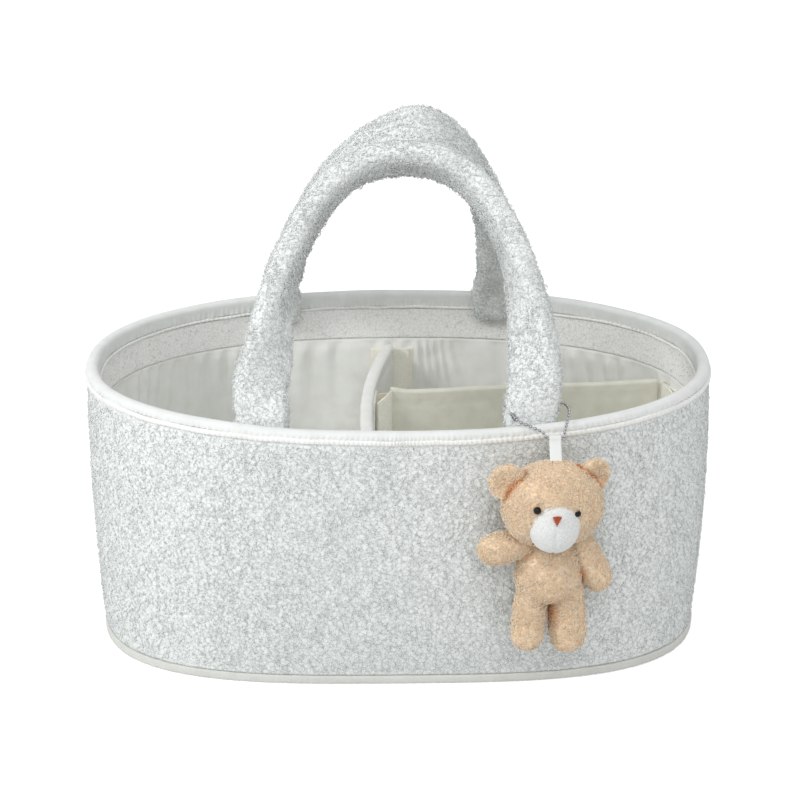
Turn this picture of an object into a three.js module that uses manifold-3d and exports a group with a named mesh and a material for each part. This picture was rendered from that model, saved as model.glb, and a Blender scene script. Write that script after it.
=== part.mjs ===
// A padded oval diaper caddy: looped-pile walls, a bound rim, a stiff base, a lift-out T of
// dividers, two padded handles that lean together, and a plush bear charm on a ball chain.
// Millimetres. +Z is up, +X runs along the long side to the right, and the charm hangs at
// the front, on the -Y side. The origin is the middle of the underside.
import * as THREE from 'three';
import Module from 'manifold-3d';
import { mergeVertices } from 'three/addons/utils/BufferGeometryUtils.js';

const wasm = await Module();
wasm.setup();

// Overall sizes of the basket
const topLength = 380;
const topDepth = 250;
const baseLength = 368;
const baseDepth = 232;
const basketHeight = 165;
const topRoundness = 2.2; // exponent of the oval at the rim
const baseRoundness = 3.2; // exponent of the squarer oval at the base
const outlineSegments = 48;
const gap = 0.3; // clearance between sewn or resting layers
const facetSlack = 0.6; // how far the oval's flat facets lie inside its curve at the ends

// Layers of the wall
const pileThickness = 2.4;
const wallPuff = 2.5; // how far the padded wall swells at half height
const foamThickness = 2.4;
const liningThickness = 1;
const facingThickness = 2;
const facingSeamHeight = 133; // lower edge of the facing inside the rim
const bindingInnerHeight = 9.7;
const bindingOuterHeight = 4.4;
const bindingFold = 1.2; // thickness of the folded binding
const bindingShoulder = 3.4; // how far the binding's top rounds down
const weltHeight = 1.7;
const weltStand = 0.8; // how far the outer welt stands off the pile

// Base
const baseClothThickness = 1.2;
const boardThickness = 3;
const pipingBottom = 0.5;
const pipingTop = 5.5;
const pipingStand = 1;

// Dividers
const dividerTop = 130;
const dividerThickness = 5;
const dividerCloth = 1.1;
const dividerBow = 20; // how far the cross divider bows to the left
const crossLeftOfMiddle = 0; // where the cross divider meets the long walls
const longJoin = 27; // where the long divider meets the cross divider, from the middle
const longEnd = 47; // where it meets the end wall, from the middle
const stripWidth = 28;
const stripThickness = 1.2;
const stripBottom = 22;
const tabWidth = 23;
const tabThickness = 1.2;
const tabDrop = 4; // tabs stop this far under the dividers' top

// Handles
const strapWidth = 29;
const strapThickness = 13.4;
const strapCloth = 2;
const strapSeat = 1; // space between the binding and a strap at its root
const foldHeight = 178; // height of the line where a handle folds
const foldInset = 98.5; // distance of that line from the middle
const foldClearance = 0.35; // between a strap's rounded end and its root
const rootBottom = 149.5;
const rootEndThickness = 5;
const rootEndWidth = 26;
const rootSwell = 3; // how much thicker a root is half-way up to the binding
const rimPinch = 2; // how much thinner it is where it passes over the rim
const foldPinch = 1; // and where it meets the strap
const foldLean = 1.5; // how far the root's top stands behind the fold line
const strapSteps = 32;
const strapSides = 10;
const strapWidthCurve = 0.6; // lower is squarer across the strap's width
const strapThicknessCurve = 0.75; // and across its thickness
const strapEndShares = [0.5, 0.86, 0.96]; // rows over the strap's rounded end
const strapEndFade = 0.6; // share by which the cloth thins over that end
// The left and right twist shares say within how much of each half a strap turns from flat to upright.
const frontHandle = {
  side: -1, halfSpacing: 76.4, rise: 143, roundness: 2.26, lean: 37.1, shift: 0.4, skew: 3,
  twistShares: [0.3, 0.63],
};
const backHandle = {
  side: 1, halfSpacing: 73.2, rise: 147, roundness: 1.66, lean: 32.8, shift: -4.8, skew: 16.4,
  twistShares: [0.27, 0.75],
};

// Charm
const ballDiameter = 2.2;
const claspDiameter = 2.7;
const chainSteps = 2; // tube steps for each point of the chain's route
// The chain goes round the front handle's right leg. These places count from the rim's front
// edge at that leg.
const claspStart = [-12.4, 3.9, 3.3];
const chainLeftPath = [
  [3.9, -8.5, -2.2], [2.2, -5.3, -0.8], [-1, -2.5, -0.1], [-5.2, -0.3, 1.1],
  [-9, 1.7, 2.1], [-11.7, 3.3, 3.2],
];
const chainRightPath = [
  [18.4, 9.9, 3.3], [17.2, 4.7, 1.6], [16, -0.3, 0.2], [15, -4.9, -0.8], [14.5, -8.5, -2.2],
];
const pivotOffset = [9.2, -9.1, -3];
const charmOffset = [5.2, -0.9, 0]; // to the point of the wall behind the charm
// These places count from the leg's fold line.
const claspEnd = [-16.6, -6.5, -5.8];
const chainLegPath = [
  [-17.1, -5.6, -5.6], [-18.1, -2.1, -6], [-17.2, 3.3, -7.1], [-13.8, 6.9, -8.4],
  [-7.8, 8.3, -9.1], [0.2, 9.1, -9.4], [8.2, 10.1, -9.4], [14, 9.5, -9.3],
  [17.8, 6.1, -9.1], [18.8, 1.5, -9], [19, -3.5, -9.1],
];
const ribbonLength = 14.6;
const ribbonWidth = 6.7;
const ribbonCloth = 0.8;
const ribbonSlope = 45; // how far the ribbon slants out from the wall, in degrees
const ribbonWrap = 40; // how far the ribbon wraps past half round the chain, in degrees
const charmYaw = 13; // the charm lies on the curved wall and so looks a little to the right
const pileGap = 0.35; // clearance between the plush pieces
const headHalf = [28.6, 22, 24];
const headCentre = [-2.9, 22.6, 128.4];
const faceTurn = 7; // degrees by which the face looks to the left of the charm's own front
const torsoMiddle = -1.6; // along the wall
const torsoBottom = 64;
const torsoTop = 110;
const torsoHalfWidth = 20.4;
const torsoHalfDepth = 14.2;
const torsoCentre = 17.4; // distance of the torso's middle from the wall
const leftLegLength = 38;
const rightLegLength = 41;
const legRadius = 10.2;
const legSpread = 10.4;
const legTop = 74;
const legTilt = 4; // degrees outward
const armLength = 36.5;
const armRadius = 8.8;
const armSeatShare = 0.6; // share of the arm's radius that lies inside the shoulder
const leftShoulder = [-16.4, 16.6, 101.5];
const leftArmDrop = 19; // degrees below level
const leftArmTurns = [-25, 25]; // degrees, up counting down from zero
const rightShoulder = [14.8, 16.6, 101];
const rightArmDrop = 68;
const rightArmTurns = [0, 40]; // degrees, up counting up from zero
const armTurnShares = [0, 0.25, 0.5, 0.75, 1];
const earRadius = 10;
const earDepth = 7.5;
const earTurn = 18; // degrees by which an ear looks outward
const leftEarPlace = [-27.2, -1.2, 13.4]; // from the middle of the head
const rightEarPlace = [24.2, -1.2, 15.5];
const muzzleHalf = [15.4, 12.4, 16];
const muzzlePlace = [0, 15.2, -6.4]; // from the middle of the head
const eyeDiameter = 4.4;
const eyeSpacing = 11;
const eyeRise = 5;
const noseWidth = 4.4;
const noseHeight = 6.2;
const noseDepth = 2.4;
const noseStandShare = 0.75; // share of the nose that stands out of the muzzle
const noseRise = 7.6; // from the middle of the muzzle
const plushSegments = 16;
const limbSegments = 11;
const eyeSegments = 10;

const group = new THREE.Group();
group.name = 'diaper_caddy';

// Finishes
const finishes = {
  boucle: { color: '#e6eae9', roughness: 0.95, metalness: 0 },
  cotton: { color: '#ecece6', roughness: 0.8, metalness: 0 },
  foam: { color: '#f4f2ea', roughness: 0.9, metalness: 0 },
  board: { color: '#cfc7b4', roughness: 0.85, metalness: 0 },
  tape: { color: '#e3dfcd', roughness: 0.9, metalness: 0 },
  steel: { color: '#8f9296', roughness: 0.3, metalness: 1 },
  plush: { color: '#ebc9a0', roughness: 0.95, metalness: 0 },
  plushWhite: { color: '#e9ebec', roughness: 0.9, metalness: 0 },
  bead: { color: '#17120f', roughness: 0.15, metalness: 0 },
  thread: { color: '#b5562e', roughness: 0.8, metalness: 0 },
};

function addPiece(name, geometry, finish) {
  const mesh = new THREE.Mesh(geometry, new THREE.MeshStandardMaterial(finishes[finish]));
  mesh.name = name;
  group.add(mesh);
}

// Closed meshes from points and triangles, turned so that their faces point out
function closedGeometry(points, triangles) {
  let volume = 0;
  for (const [a, b, c] of triangles) {
    volume += points[a].dot(points[b].clone().cross(points[c]));
  }
  const geometry = new THREE.BufferGeometry();
  geometry.setAttribute('position', new THREE.Float32BufferAttribute(
    points.flatMap((p) => [p.x, p.y, p.z]), 3));
  geometry.setIndex(triangles.flatMap(([a, b, c]) => (volume < 0 ? [a, c, b] : [a, b, c])));
  return geometry;
}

// A skin over rows of points. Each row is a closed loop.
function skinRows(rows, rowsClose) {
  const count = rows[0].length;
  const triangles = [];
  const last = rowsClose ? rows.length : rows.length - 1;
  for (let i = 0; i < last; i += 1) {
    const next = (i + 1) % rows.length;
    for (let j = 0; j < count; j += 1) {
      const right = (j + 1) % count;
      const a = i * count + j;
      const b = i * count + right;
      const c = next * count + right;
      const d = next * count + j;
      triangles.push([a, b, c], [a, c, d]);
    }
  }
  return triangles;
}

// A solid through a stack of closed loops, with a fan over each end
function loftGeometry(rows) {
  const count = rows[0].length;
  const points = rows.flat();
  const triangles = skinRows(rows, false);
  for (const [row, start, turned] of [
    [rows[0], 0, true], [rows.at(-1), (rows.length - 1) * count, false],
  ]) {
    const middle = points.length;
    points.push(row.reduce((sum, p) => sum.add(p), new THREE.Vector3()).divideScalar(count));
    for (let j = 0; j < count; j += 1) {
      const a = start + j;
      const b = start + ((j + 1) % count);
      triangles.push(turned ? [middle, b, a] : [middle, a, b]);
    }
  }
  return closedGeometry(points, triangles);
}

// The band between a loop of an outer skin and the same loop of an inner skin
function bandBetween(start, count, inner, turned) {
  const triangles = [];
  for (let j = 0; j < count; j += 1) {
    const a = start + j;
    const b = start + ((j + 1) % count);
    triangles.push(
      turned ? [a, inner + b, b] : [a, b, inner + b],
      turned ? [a, inner + a, inner + b] : [a, inner + b, inner + a]);
  }
  return triangles;
}

// A cap over a long thin loop, whose second half runs back beside its first
function ladderCap(start, count, turned) {
  const triangles = [];
  for (let i = 0; i < count / 2 - 1; i += 1) {
    const [a, b, c, d] = [start + i, start + i + 1, start + count - 2 - i, start + count - 1 - i];
    triangles.push(...(turned ? [[a, c, b], [a, d, c]] : [[a, b, c], [a, c, d]]));
  }
  return triangles;
}

const reversed = (triangles, shift) => triangles.map(([a, b, c]) => [shift + a, shift + c, shift + b]);

// A hose through a stack of outer loops and the matching inner loops. Both skins are split
// the same way, so that what lies inside it keeps its clearance.
function hoseGeometry(outerRows, innerRows) {
  const count = outerRows[0].length;
  const inner = outerRows.length * count;
  const skin = skinRows(outerRows, false);
  return closedGeometry([...outerRows, ...innerRows].flat(), [
    ...skin, ...reversed(skin, inner),
    ...bandBetween(0, count, inner, true), ...bandBetween(inner - count, count, inner, false),
  ]);
}

// A thin panel through two or more long loops
function panelGeometry(rows) {
  const count = rows[0].length;
  return closedGeometry(rows.flat(), [
    ...skinRows(rows, false), ...ladderCap(0, count, true),
    ...ladderCap((rows.length - 1) * count, count, false),
  ]);
}

// A thin cover that is closed at its top and open at its bottom
function coverGeometry(outerRows, innerRows) {
  const count = outerRows[0].length;
  const inner = outerRows.length * count;
  const skin = [...skinRows(outerRows, false), ...ladderCap(inner - count, count, false)];
  return closedGeometry([...outerRows, ...innerRows].flat(), [
    ...skin, ...reversed(skin, inner), ...bandBetween(0, count, inner, true),
  ]);
}

function toSolid(geometry) {
  const plain = geometry.clone();
  plain.deleteAttribute('normal');
  plain.deleteAttribute('uv');
  const merged = mergeVertices(plain);
  return new wasm.Manifold(new wasm.Mesh({
    numProp: 3,
    vertProperties: Float32Array.from(merged.attributes.position.array),
    triVerts: Uint32Array.from(merged.index.array),
  }));
}

function toGeometry(solid) {
  const mesh = solid.getMesh();
  const geometry = new THREE.BufferGeometry();
  geometry.setAttribute('position', new THREE.BufferAttribute(mesh.vertProperties, 3));
  geometry.setIndex(new THREE.BufferAttribute(mesh.triVerts, 1));
  return geometry;
}

function cutAway(geometry, ...cutters) {
  let solid = toSolid(geometry);
  for (const cutter of cutters) {
    solid = solid.subtract(toSolid(cutter));
  }
  return toGeometry(solid);
}

const vector = (place) => new THREE.Vector3(...place);
const radians = (degrees) => THREE.MathUtils.degToRad(degrees);
// A turn that starts at once and slows down
const settle = (share) => 1 - (1 - Math.min(share, 1)) ** 2;

// The wall's oval: a superellipse that changes from the base to the rim
function ovalPoint(turn, length, depth, roundness) {
  const c = Math.cos(turn);
  const s = Math.sin(turn);
  const bend = 2 / roundness;
  const x = (length / 2) * Math.sign(c) * Math.abs(c) ** bend;
  const y = (depth / 2) * Math.sign(s) * Math.abs(s) ** bend;
  const nx = (Math.sign(c) * Math.abs(c) ** (2 - bend)) / length;
  const ny = (Math.sign(s) * Math.abs(s) ** (2 - bend)) / depth;
  return { point: new THREE.Vector2(x, y), normal: new THREE.Vector2(nx, ny).normalize() };
}

function wallPoint(turn, height, inset) {
  const share = height / basketHeight;
  const base = ovalPoint(turn, baseLength, baseDepth, baseRoundness);
  const top = ovalPoint(turn, topLength, topDepth, topRoundness);
  const normal = base.normal.lerp(top.normal, share).normalize();
  const place = base.point.lerp(top.point, share).addScaledVector(normal, -inset);
  return new THREE.Vector3(place.x, place.y, height);
}

function wallNormal(turn, height) {
  const out = wallPoint(turn, height, -1).sub(wallPoint(turn, height, 0));
  return new THREE.Vector3(out.x, out.y, 0).normalize();
}

// Turns at which the wall's points lie evenly along its length
function evenTurns(count) {
  const fine = count * 40;
  const lengths = [0];
  for (let i = 1; i <= fine; i += 1) {
    const from = wallPoint((2 * Math.PI * (i - 1)) / fine, basketHeight / 2, 0);
    const to = wallPoint((2 * Math.PI * i) / fine, basketHeight / 2, 0);
    lengths.push(lengths[i - 1] + from.distanceTo(to));
  }
  const turns = [];
  let i = 0;
  for (let n = 0; n < count; n += 1) {
    const wanted = (lengths[fine] * n) / count;
    while (lengths[i + 1] <= wanted) {
      i += 1;
    }
    const part = (wanted - lengths[i]) / (lengths[i + 1] - lengths[i]);
    turns.push((2 * Math.PI * (i + part)) / fine);
  }
  return turns;
}

const turns = evenTurns(outlineSegments);

// The turn at which a layer of the wall passes x on its front or back, or y on its right end
function turnAtX(x, side, height, inset = 0) {
  let low = 0;
  let high = Math.PI;
  for (let i = 0; i < 40; i += 1) {
    const middle = (low + high) / 2;
    if (wallPoint(middle, height, inset).x > x) {
      low = middle;
    } else {
      high = middle;
    }
  }
  return side * low;
}

function turnAtY(y, height, inset = 0) {
  let low = -Math.PI / 2;
  let high = Math.PI / 2;
  for (let i = 0; i < 40; i += 1) {
    const middle = (low + high) / 2;
    if (wallPoint(middle, height, inset).y < y) {
      low = middle;
    } else {
      high = middle;
    }
  }
  return low;
}

// Heights that all wall layers share, so that their facets lie parallel
const sharedHeights = [basketHeight / 5, (2 * basketHeight) / 5, (3 * basketHeight) / 5];

function levelsBetween(low, high) {
  return [low, ...sharedHeights.filter((height) => height > low && height < high), high];
}

// A layer of the wall between two insets. Its outer face can swell between its edges.
function layerGeometry(outerInset, innerInset, low, high, puff = 0) {
  const levels = levelsBetween(low, high);
  const swell = (height) => {
    const share = (height - low) / (high - low);
    return 4 * puff * share * (1 - share);
  };
  return hoseGeometry(
    levels.map((height) => turns.map((turn) => wallPoint(turn, height, outerInset - swell(height)))),
    levels.map((height) => turns.map((turn) => wallPoint(turn, height, innerInset))));
}

// A ring that follows the wall, from a closed profile of [inset, height] pairs
function ringGeometry(profile) {
  const rows = turns.map((turn) => profile.map(([inset, height]) => wallPoint(turn, height, inset)));
  return closedGeometry(rows.flat(), skinRows(rows, true));
}

// A plate that fills the wall's oval
function plateGeometry(inset, heights) {
  return loftGeometry(heights.map((height) => turns.map((turn) => wallPoint(turn, height, inset))));
}

// A patch of a wall layer: the part of its ring that lies inside a block
function patchGeometry(layer, fromX, toX, fromY, toY) {
  const block = new THREE.BoxGeometry(toX - fromX, toY - fromY, 3 * basketHeight);
  block.translate((fromX + toX) / 2, (fromY + toY) / 2, 0);
  return toGeometry(toSolid(layer).intersect(toSolid(block)));
}

// Wall layers: insets from the outer face of the pile, and heights
const foamInset = pileThickness + gap;
const foamInner = foamInset + foamThickness;
const liningInset = foamInner + gap;
const liningInner = liningInset + liningThickness;
const facingInner = liningInset + facingThickness;
const bindingInnerBottom = basketHeight - bindingInnerHeight;
const bindingOuterBottom = basketHeight - bindingOuterHeight;
const innerWeltTop = bindingInnerBottom - gap;
const innerWeltBottom = innerWeltTop - weltHeight;
const outerWeltTop = bindingOuterBottom - gap;
const outerWeltBottom = outerWeltTop - weltHeight;
const facingTop = innerWeltBottom - gap;
const pileTop = outerWeltBottom - gap;
const pileBottom = pipingTop + gap;
const boardBottom = baseClothThickness + gap;
const boardTop = boardBottom + boardThickness;
const floorBottom = boardTop + gap;
const floorTop = floorBottom + liningThickness;

function makeWall() {
  addPiece('outer_shell', layerGeometry(0, pileThickness, pileBottom, pileTop, wallPuff), 'boucle');
  const foamTop = basketHeight - bindingFold - gap;
  addPiece('wall_foam', layerGeometry(foamInset, foamInner, boardBottom, foamTop), 'foam');
  addPiece('lining', layerGeometry(
    liningInset, liningInner, floorTop + gap, facingSeamHeight - gap), 'cotton');
  addPiece('inner_facing', layerGeometry(
    liningInset, facingInner, facingSeamHeight, facingTop), 'boucle');
}

function makeRim() {
  const outside = 0;
  const inside = facingInner;
  const shoulder = basketHeight - bindingShoulder;
  const quarter = (inside - outside) / 4;
  const under = basketHeight - bindingFold;
  addPiece('rim_binding', ringGeometry([
    [outside, bindingOuterBottom], [outside, shoulder],
    [outside + quarter / 2, basketHeight - bindingShoulder / 4], [outside + 3 * quarter / 2, basketHeight],
    [inside - 3 * quarter / 2, basketHeight], [inside - quarter / 2, basketHeight - bindingShoulder / 4],
    [inside, shoulder], [inside, bindingInnerBottom],
    [inside - bindingFold, bindingInnerBottom], [inside - bindingFold, shoulder],
    [foamInner, under], [foamInset, under],
    [outside + bindingFold, shoulder], [outside + bindingFold, bindingOuterBottom],
  ]), 'cotton');
  addPiece('rim_welt_outer', ringGeometry([
    [-weltStand, outerWeltBottom], [-weltStand, outerWeltTop],
    [pileThickness, outerWeltTop], [pileThickness, outerWeltBottom],
  ]), 'cotton');
  addPiece('rim_welt_inner', ringGeometry([
    [liningInset, innerWeltBottom], [liningInset, innerWeltTop],
    [facingInner + gap, innerWeltTop], [facingInner + gap, innerWeltBottom],
  ]), 'cotton');
}

function makeBase() {
  addPiece('base_piping', ringGeometry([
    [-pipingStand, pipingBottom + pipingStand], [-pipingStand, pipingTop - pipingStand],
    [0, pipingTop], [pileThickness, pipingTop], [pileThickness, pipingBottom], [0, pipingBottom],
  ]), 'cotton');
  addPiece('base_cover', plateGeometry(foamInset, [0, baseClothThickness]), 'cotton');
  addPiece('base_board', plateGeometry(liningInset, [boardBottom, boardTop]), 'board');
  addPiece('floor_lining', plateGeometry(liningInset, [floorBottom, floorTop]), 'cotton');
}

// Hook and loop strips on the lining
const stripInset = liningInner + gap;
const stripInner = stripInset + stripThickness;
const tabInset = stripInner + gap;
const tabInner = tabInset + tabThickness;
const tabTop = dividerTop - tabDrop;
const panelInset = tabInner + gap;

function sideStrip(side, width, outerInset, innerInset) {
  const middle = crossLeftOfMiddle - dividerThickness / 2;
  return patchGeometry(
    layerGeometry(outerInset, innerInset, stripBottom, tabTop),
    middle - width / 2, middle + width / 2, Math.min(0, side * topDepth), Math.max(0, side * topDepth));
}

function makeLoopStrips() {
  addPiece('loop_strip_back', sideStrip(1, stripWidth, stripInset, stripInner), 'tape');
  addPiece('loop_strip_front', sideStrip(-1, stripWidth, stripInset, stripInner), 'tape');
  addPiece('loop_strip_end', patchGeometry(
    layerGeometry(stripInset, stripInner, stripBottom, tabTop), 0, topLength,
    longEnd - stripWidth + dividerThickness, longEnd + dividerThickness), 'tape');
}

// Dividers. The cross divider is a panel that bows to the left between the long walls.
const bowHalfLength = topDepth / 2;
const panelBottom = floorTop + gap;
const boardLow = panelBottom + dividerThickness / 2;
const boardHigh = dividerTop - dividerCloth - gap;
const dividerHalf = dividerThickness / 2;
const pocketHalf = dividerHalf - dividerCloth;
const panelEndGap = 2 * gap;
const crossSteps = 12;

function bowAt(y) {
  return crossLeftOfMiddle - dividerBow * (1 - (y / bowHalfLength) ** 2);
}

function wallYAt(x, side, height, inset) {
  return wallPoint(turnAtX(x, side, height, inset), height, inset).y;
}

// How far right a piece at y can reach and still slide up past the lining and the facing
function clearX(y) {
  const heights = [stripBottom, ...sharedHeights, facingSeamHeight, basketHeight];
  const reaches = heights.map((height) => {
    const inset = height < facingSeamHeight ? stripInner : facingInner;
    return wallPoint(turnAtY(y, height, inset), height, inset).x;
  });
  return Math.min(...reaches) - facetSlack - gap;
}

// A loop round a stretch of the bowed panel
function bowedLoop(fromY, toY, halfThickness, offset, z, steps) {
  const ys = Array.from({ length: steps + 1 }, (_, i) => THREE.MathUtils.lerp(fromY, toY, i / steps));
  return [
    ...ys.map((y) => new THREE.Vector3(bowAt(y) + offset + halfThickness, y, z)),
    ...ys.toReversed().map((y) => new THREE.Vector3(bowAt(y) + offset - halfThickness, y, z)),
  ];
}

function crossRows(halfThickness, endInset, low, high) {
  const x = crossLeftOfMiddle;
  return levelsBetween(low, high).map((z) => {
    const [front, back] = [-1, 1].map((side) => wallYAt(x, side, z, panelInset + panelEndGap + endInset));
    return bowedLoop(front, back, halfThickness, 0, z, crossSteps);
  });
}

function bowedStrip(width, thickness, offset) {
  const rows = [stripBottom, tabTop].map((z) => bowedLoop(
    longJoin - width / 2, longJoin + width / 2, thickness / 2, offset, z, 3));
  return panelGeometry(rows);
}

const joinStripOffset = dividerHalf + gap + stripThickness / 2;
const joinTabOffset = joinStripOffset + (stripThickness + tabThickness) / 2 + gap;

function makeCrossDivider() {
  const outer = crossRows(dividerHalf, 0, panelBottom, dividerTop);
  const inner = crossRows(pocketHalf, dividerCloth, panelBottom, dividerTop - dividerCloth);
  addPiece('cross_divider_cover', coverGeometry(outer, inner), 'cotton');
  addPiece('cross_divider_board', panelGeometry(
    crossRows(pocketHalf - gap, dividerCloth + gap, boardLow, boardHigh)), 'board');
  addPiece('cross_divider_tab_back', sideStrip(1, tabWidth, tabInset, tabInner), 'tape');
  addPiece('cross_divider_tab_front', sideStrip(-1, tabWidth, tabInset, tabInner), 'tape');
  addPiece('cross_divider_loop_strip', bowedStrip(stripWidth, stripThickness, joinStripOffset), 'tape');
}

// The long divider runs from the cross divider to the right end wall at a slight slant
function longRows(halfThickness, endInset, low, high) {
  const startX = bowAt(longJoin) + joinTabOffset + tabThickness / 2 + panelEndGap + endInset;
  const reach = Math.min(clearX(longEnd - dividerHalf), clearX(longEnd + dividerHalf));
  const endX = reach - tabThickness - panelEndGap - endInset;
  return [low, high].map((z) => {
    const start = new THREE.Vector3(startX, longJoin, z);
    const end = new THREE.Vector3(endX, longEnd, z);
    const along = end.clone().sub(start).normalize();
    const across = new THREE.Vector3(-along.y, along.x, 0).multiplyScalar(halfThickness);
    return [
      start.clone().sub(across), end.clone().sub(across),
      end.clone().add(across), start.clone().add(across),
    ];
  });
}

function endTab() {
  const columns = 4;
  const ys = Array.from({ length: columns + 1 }, (_, i) => (
    longEnd + dividerHalf - tabWidth + (tabWidth * i) / columns));
  return panelGeometry([stripBottom, tabTop].map((z) => [
    ...ys.map((y) => new THREE.Vector3(clearX(y), y, z)),
    ...ys.toReversed().map((y) => new THREE.Vector3(clearX(y) - tabThickness, y, z)),
  ]));
}

function makeLongDivider() {
  const outer = longRows(dividerHalf, 0, panelBottom, dividerTop);
  const inner = longRows(pocketHalf, dividerCloth, panelBottom, dividerTop - dividerCloth);
  addPiece('long_divider_cover', coverGeometry(outer, inner), 'cotton');
  addPiece('long_divider_board', panelGeometry(
    longRows(pocketHalf - gap, dividerCloth + gap, boardLow, boardHigh)), 'board');
  addPiece('long_divider_tab_end', endTab(), 'tape');
  addPiece('long_divider_tab_join', bowedStrip(tabWidth, tabThickness, joinTabOffset), 'tape');
}

// Handles. A strap's section is a soft rectangle; it lies flat to the wall at the roots and
// turns until its wide face looks up and down over the middle of the arch.
function strapLoop(centre, widthWay, faceWay, width, thickness) {
  return Array.from({ length: strapSides }, (_, i) => {
    const angle = (2 * Math.PI * (i + 0.5)) / strapSides;
    const c = Math.cos(angle);
    const s = Math.sin(angle);
    const across = Math.sign(c) * Math.abs(c) ** strapWidthCurve * (width / 2);
    const through = Math.sign(s) * Math.abs(s) ** strapThicknessCurve * (thickness / 2);
    return centre.clone().addScaledVector(widthWay, across).addScaledVector(faceWay, through);
  });
}

function archPoint(handle, turn) {
  const bend = 2 / handle.roundness;
  const c = Math.cos(turn);
  const along = -handle.halfSpacing * Math.sign(c) * Math.abs(c) ** bend;
  const up = handle.rise * Math.sin(turn) ** bend;
  const lean = radians(handle.lean);
  const x = along + handle.shift + handle.skew * (up / handle.rise) ** 2;
  return new THREE.Vector3(
    x, handle.side * (foldInset - up * Math.sin(lean)), foldHeight + up * Math.cos(lean));
}

// Points spaced evenly along the arch, with the ways its width and its outer face look
function archFrames(handle) {
  const fine = strapSteps * 20;
  const dense = Array.from({ length: fine + 1 }, (_, i) => archPoint(handle, (Math.PI * i) / fine));
  const lengths = [0];
  for (let i = 1; i <= fine; i += 1) {
    lengths.push(lengths[i - 1] + dense[i].distanceTo(dense[i - 1]));
  }
  const lean = radians(handle.lean);
  const outOfPlane = new THREE.Vector3(0, handle.side * Math.cos(lean), Math.sin(lean));
  const frames = [];
  let i = 0;
  for (let n = 0; n <= strapSteps; n += 1) {
    const wanted = (lengths[fine] * n) / strapSteps;
    while (i < fine - 1 && lengths[i + 1] < wanted) {
      i += 1;
    }
    const part = (wanted - lengths[i]) / (lengths[i + 1] - lengths[i]);
    const centre = dense[i].clone().lerp(dense[i + 1], part);
    const tangent = dense[i + 1].clone().sub(dense[i]).normalize();
    const flat = outOfPlane.clone().addScaledVector(tangent, -outOfPlane.dot(tangent)).normalize();
    const outward = flat.clone().cross(tangent).multiplyScalar(handle.side);
    const share = Math.min(n, strapSteps - n) / (strapSteps / 2);
    const twistShare = handle.twistShares[n < strapSteps / 2 ? 0 : 1];
    const twist = (Math.PI / 2) * settle(share / twistShare);
    const face = flat.multiplyScalar(Math.cos(twist)).addScaledVector(outward, Math.sin(twist));
    frames.push({ centre, tangent, face, width: face.clone().cross(tangent) });
  }
  return frames;
}

// A strap's end rounds off about the fold line, so that it can turn over its root
function strapRows(frames, inset, endShares) {
  const round = strapThickness / 2;
  const rows = frames.map((f) => strapLoop(
    f.centre, f.width, f.face, strapWidth - 2 * inset, strapThickness - 2 * inset));
  const endRow = (frame, way, share) => {
    const centre = frame.centre.clone().addScaledVector(frame.tangent, way * round * share);
    const thickness = strapThickness * Math.sqrt(1 - share * share) - 2 * inset * (1 - share * strapEndFade);
    return strapLoop(centre, frame.width, frame.face, strapWidth - 2 * inset, thickness);
  };
  const first = endShares.toReversed().map((share) => endRow(frames[0], -1, share));
  const last = endShares.map((share) => endRow(frames.at(-1), 1, share));
  return [...first, ...rows, ...last];
}

// The sewn root of a strap: it lies flat on the facing and swells up to the fold
function rootGeometry(handle, x) {
  const side = handle.side;
  const turn = turnAtX(x, side, basketHeight);
  const seat = facingInner + gap + strapSeat;
  const top = foldHeight - strapThickness / 2 - foldClearance;
  const levels = [
    { height: rootBottom, width: rootEndWidth, thickness: rootEndThickness, wall: 1 },
    {
      height: (rootBottom + bindingInnerBottom) / 2, width: strapWidth,
      thickness: rootEndThickness + rootSwell, wall: 1,
    },
    {
      height: basketHeight - bindingShoulder, width: strapWidth,
      thickness: strapThickness - rimPinch, wall: 1,
    },
    { height: top, width: strapWidth, thickness: strapThickness - foldPinch, wall: 0 },
  ];
  const rows = levels.map(({ height, width, thickness, wall }) => {
    const share = Math.min(height, basketHeight);
    const normal = wallNormal(turn, share);
    const onWall = wallPoint(turn, share, seat + thickness / 2);
    const atFold = new THREE.Vector3(x, side * (foldInset + foldLean), height);
    const centre = atFold.clone().lerp(new THREE.Vector3(onWall.x, onWall.y, height), wall);
    const face = new THREE.Vector3(0, side, 0).lerp(normal, wall).normalize();
    const widthWay = face.clone().cross(new THREE.Vector3(0, 0, 1));
    return strapLoop(centre, widthWay, face, width, thickness);
  });
  return loftGeometry(rows);
}

function makeHandle(name, handle) {
  const frames = archFrames(handle);
  const outer = strapRows(frames, 0, strapEndShares);
  const inner = strapRows(frames, strapCloth, strapEndShares);
  addPiece(`${name}_cover`, hoseGeometry(outer, inner), 'boucle');
  addPiece(`${name}_foam`, loftGeometry(strapRows(frames, strapCloth + gap, [])), 'foam');
  const left = handle.shift - handle.halfSpacing;
  const right = handle.shift + handle.halfSpacing;
  addPiece(`${name}_root_left`, rootGeometry(handle, left), 'boucle');
  addPiece(`${name}_root_right`, rootGeometry(handle, right), 'boucle');
}

// Ball chain, clasp and ribbon that carry the charm
const chainLegX = frontHandle.shift + frontHandle.halfSpacing;
const rimAtLeg = wallPoint(turnAtX(chainLegX, -1, basketHeight), basketHeight, 0);
const foldAtLeg = new THREE.Vector3(chainLegX, -foldInset, foldHeight);
const fromRim = (offset) => rimAtLeg.clone().add(vector(offset));
const fromFold = (offset) => foldAtLeg.clone().add(vector(offset));
const pivotPlace = fromRim(pivotOffset);
const charmPlace = fromRim(charmOffset);

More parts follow.
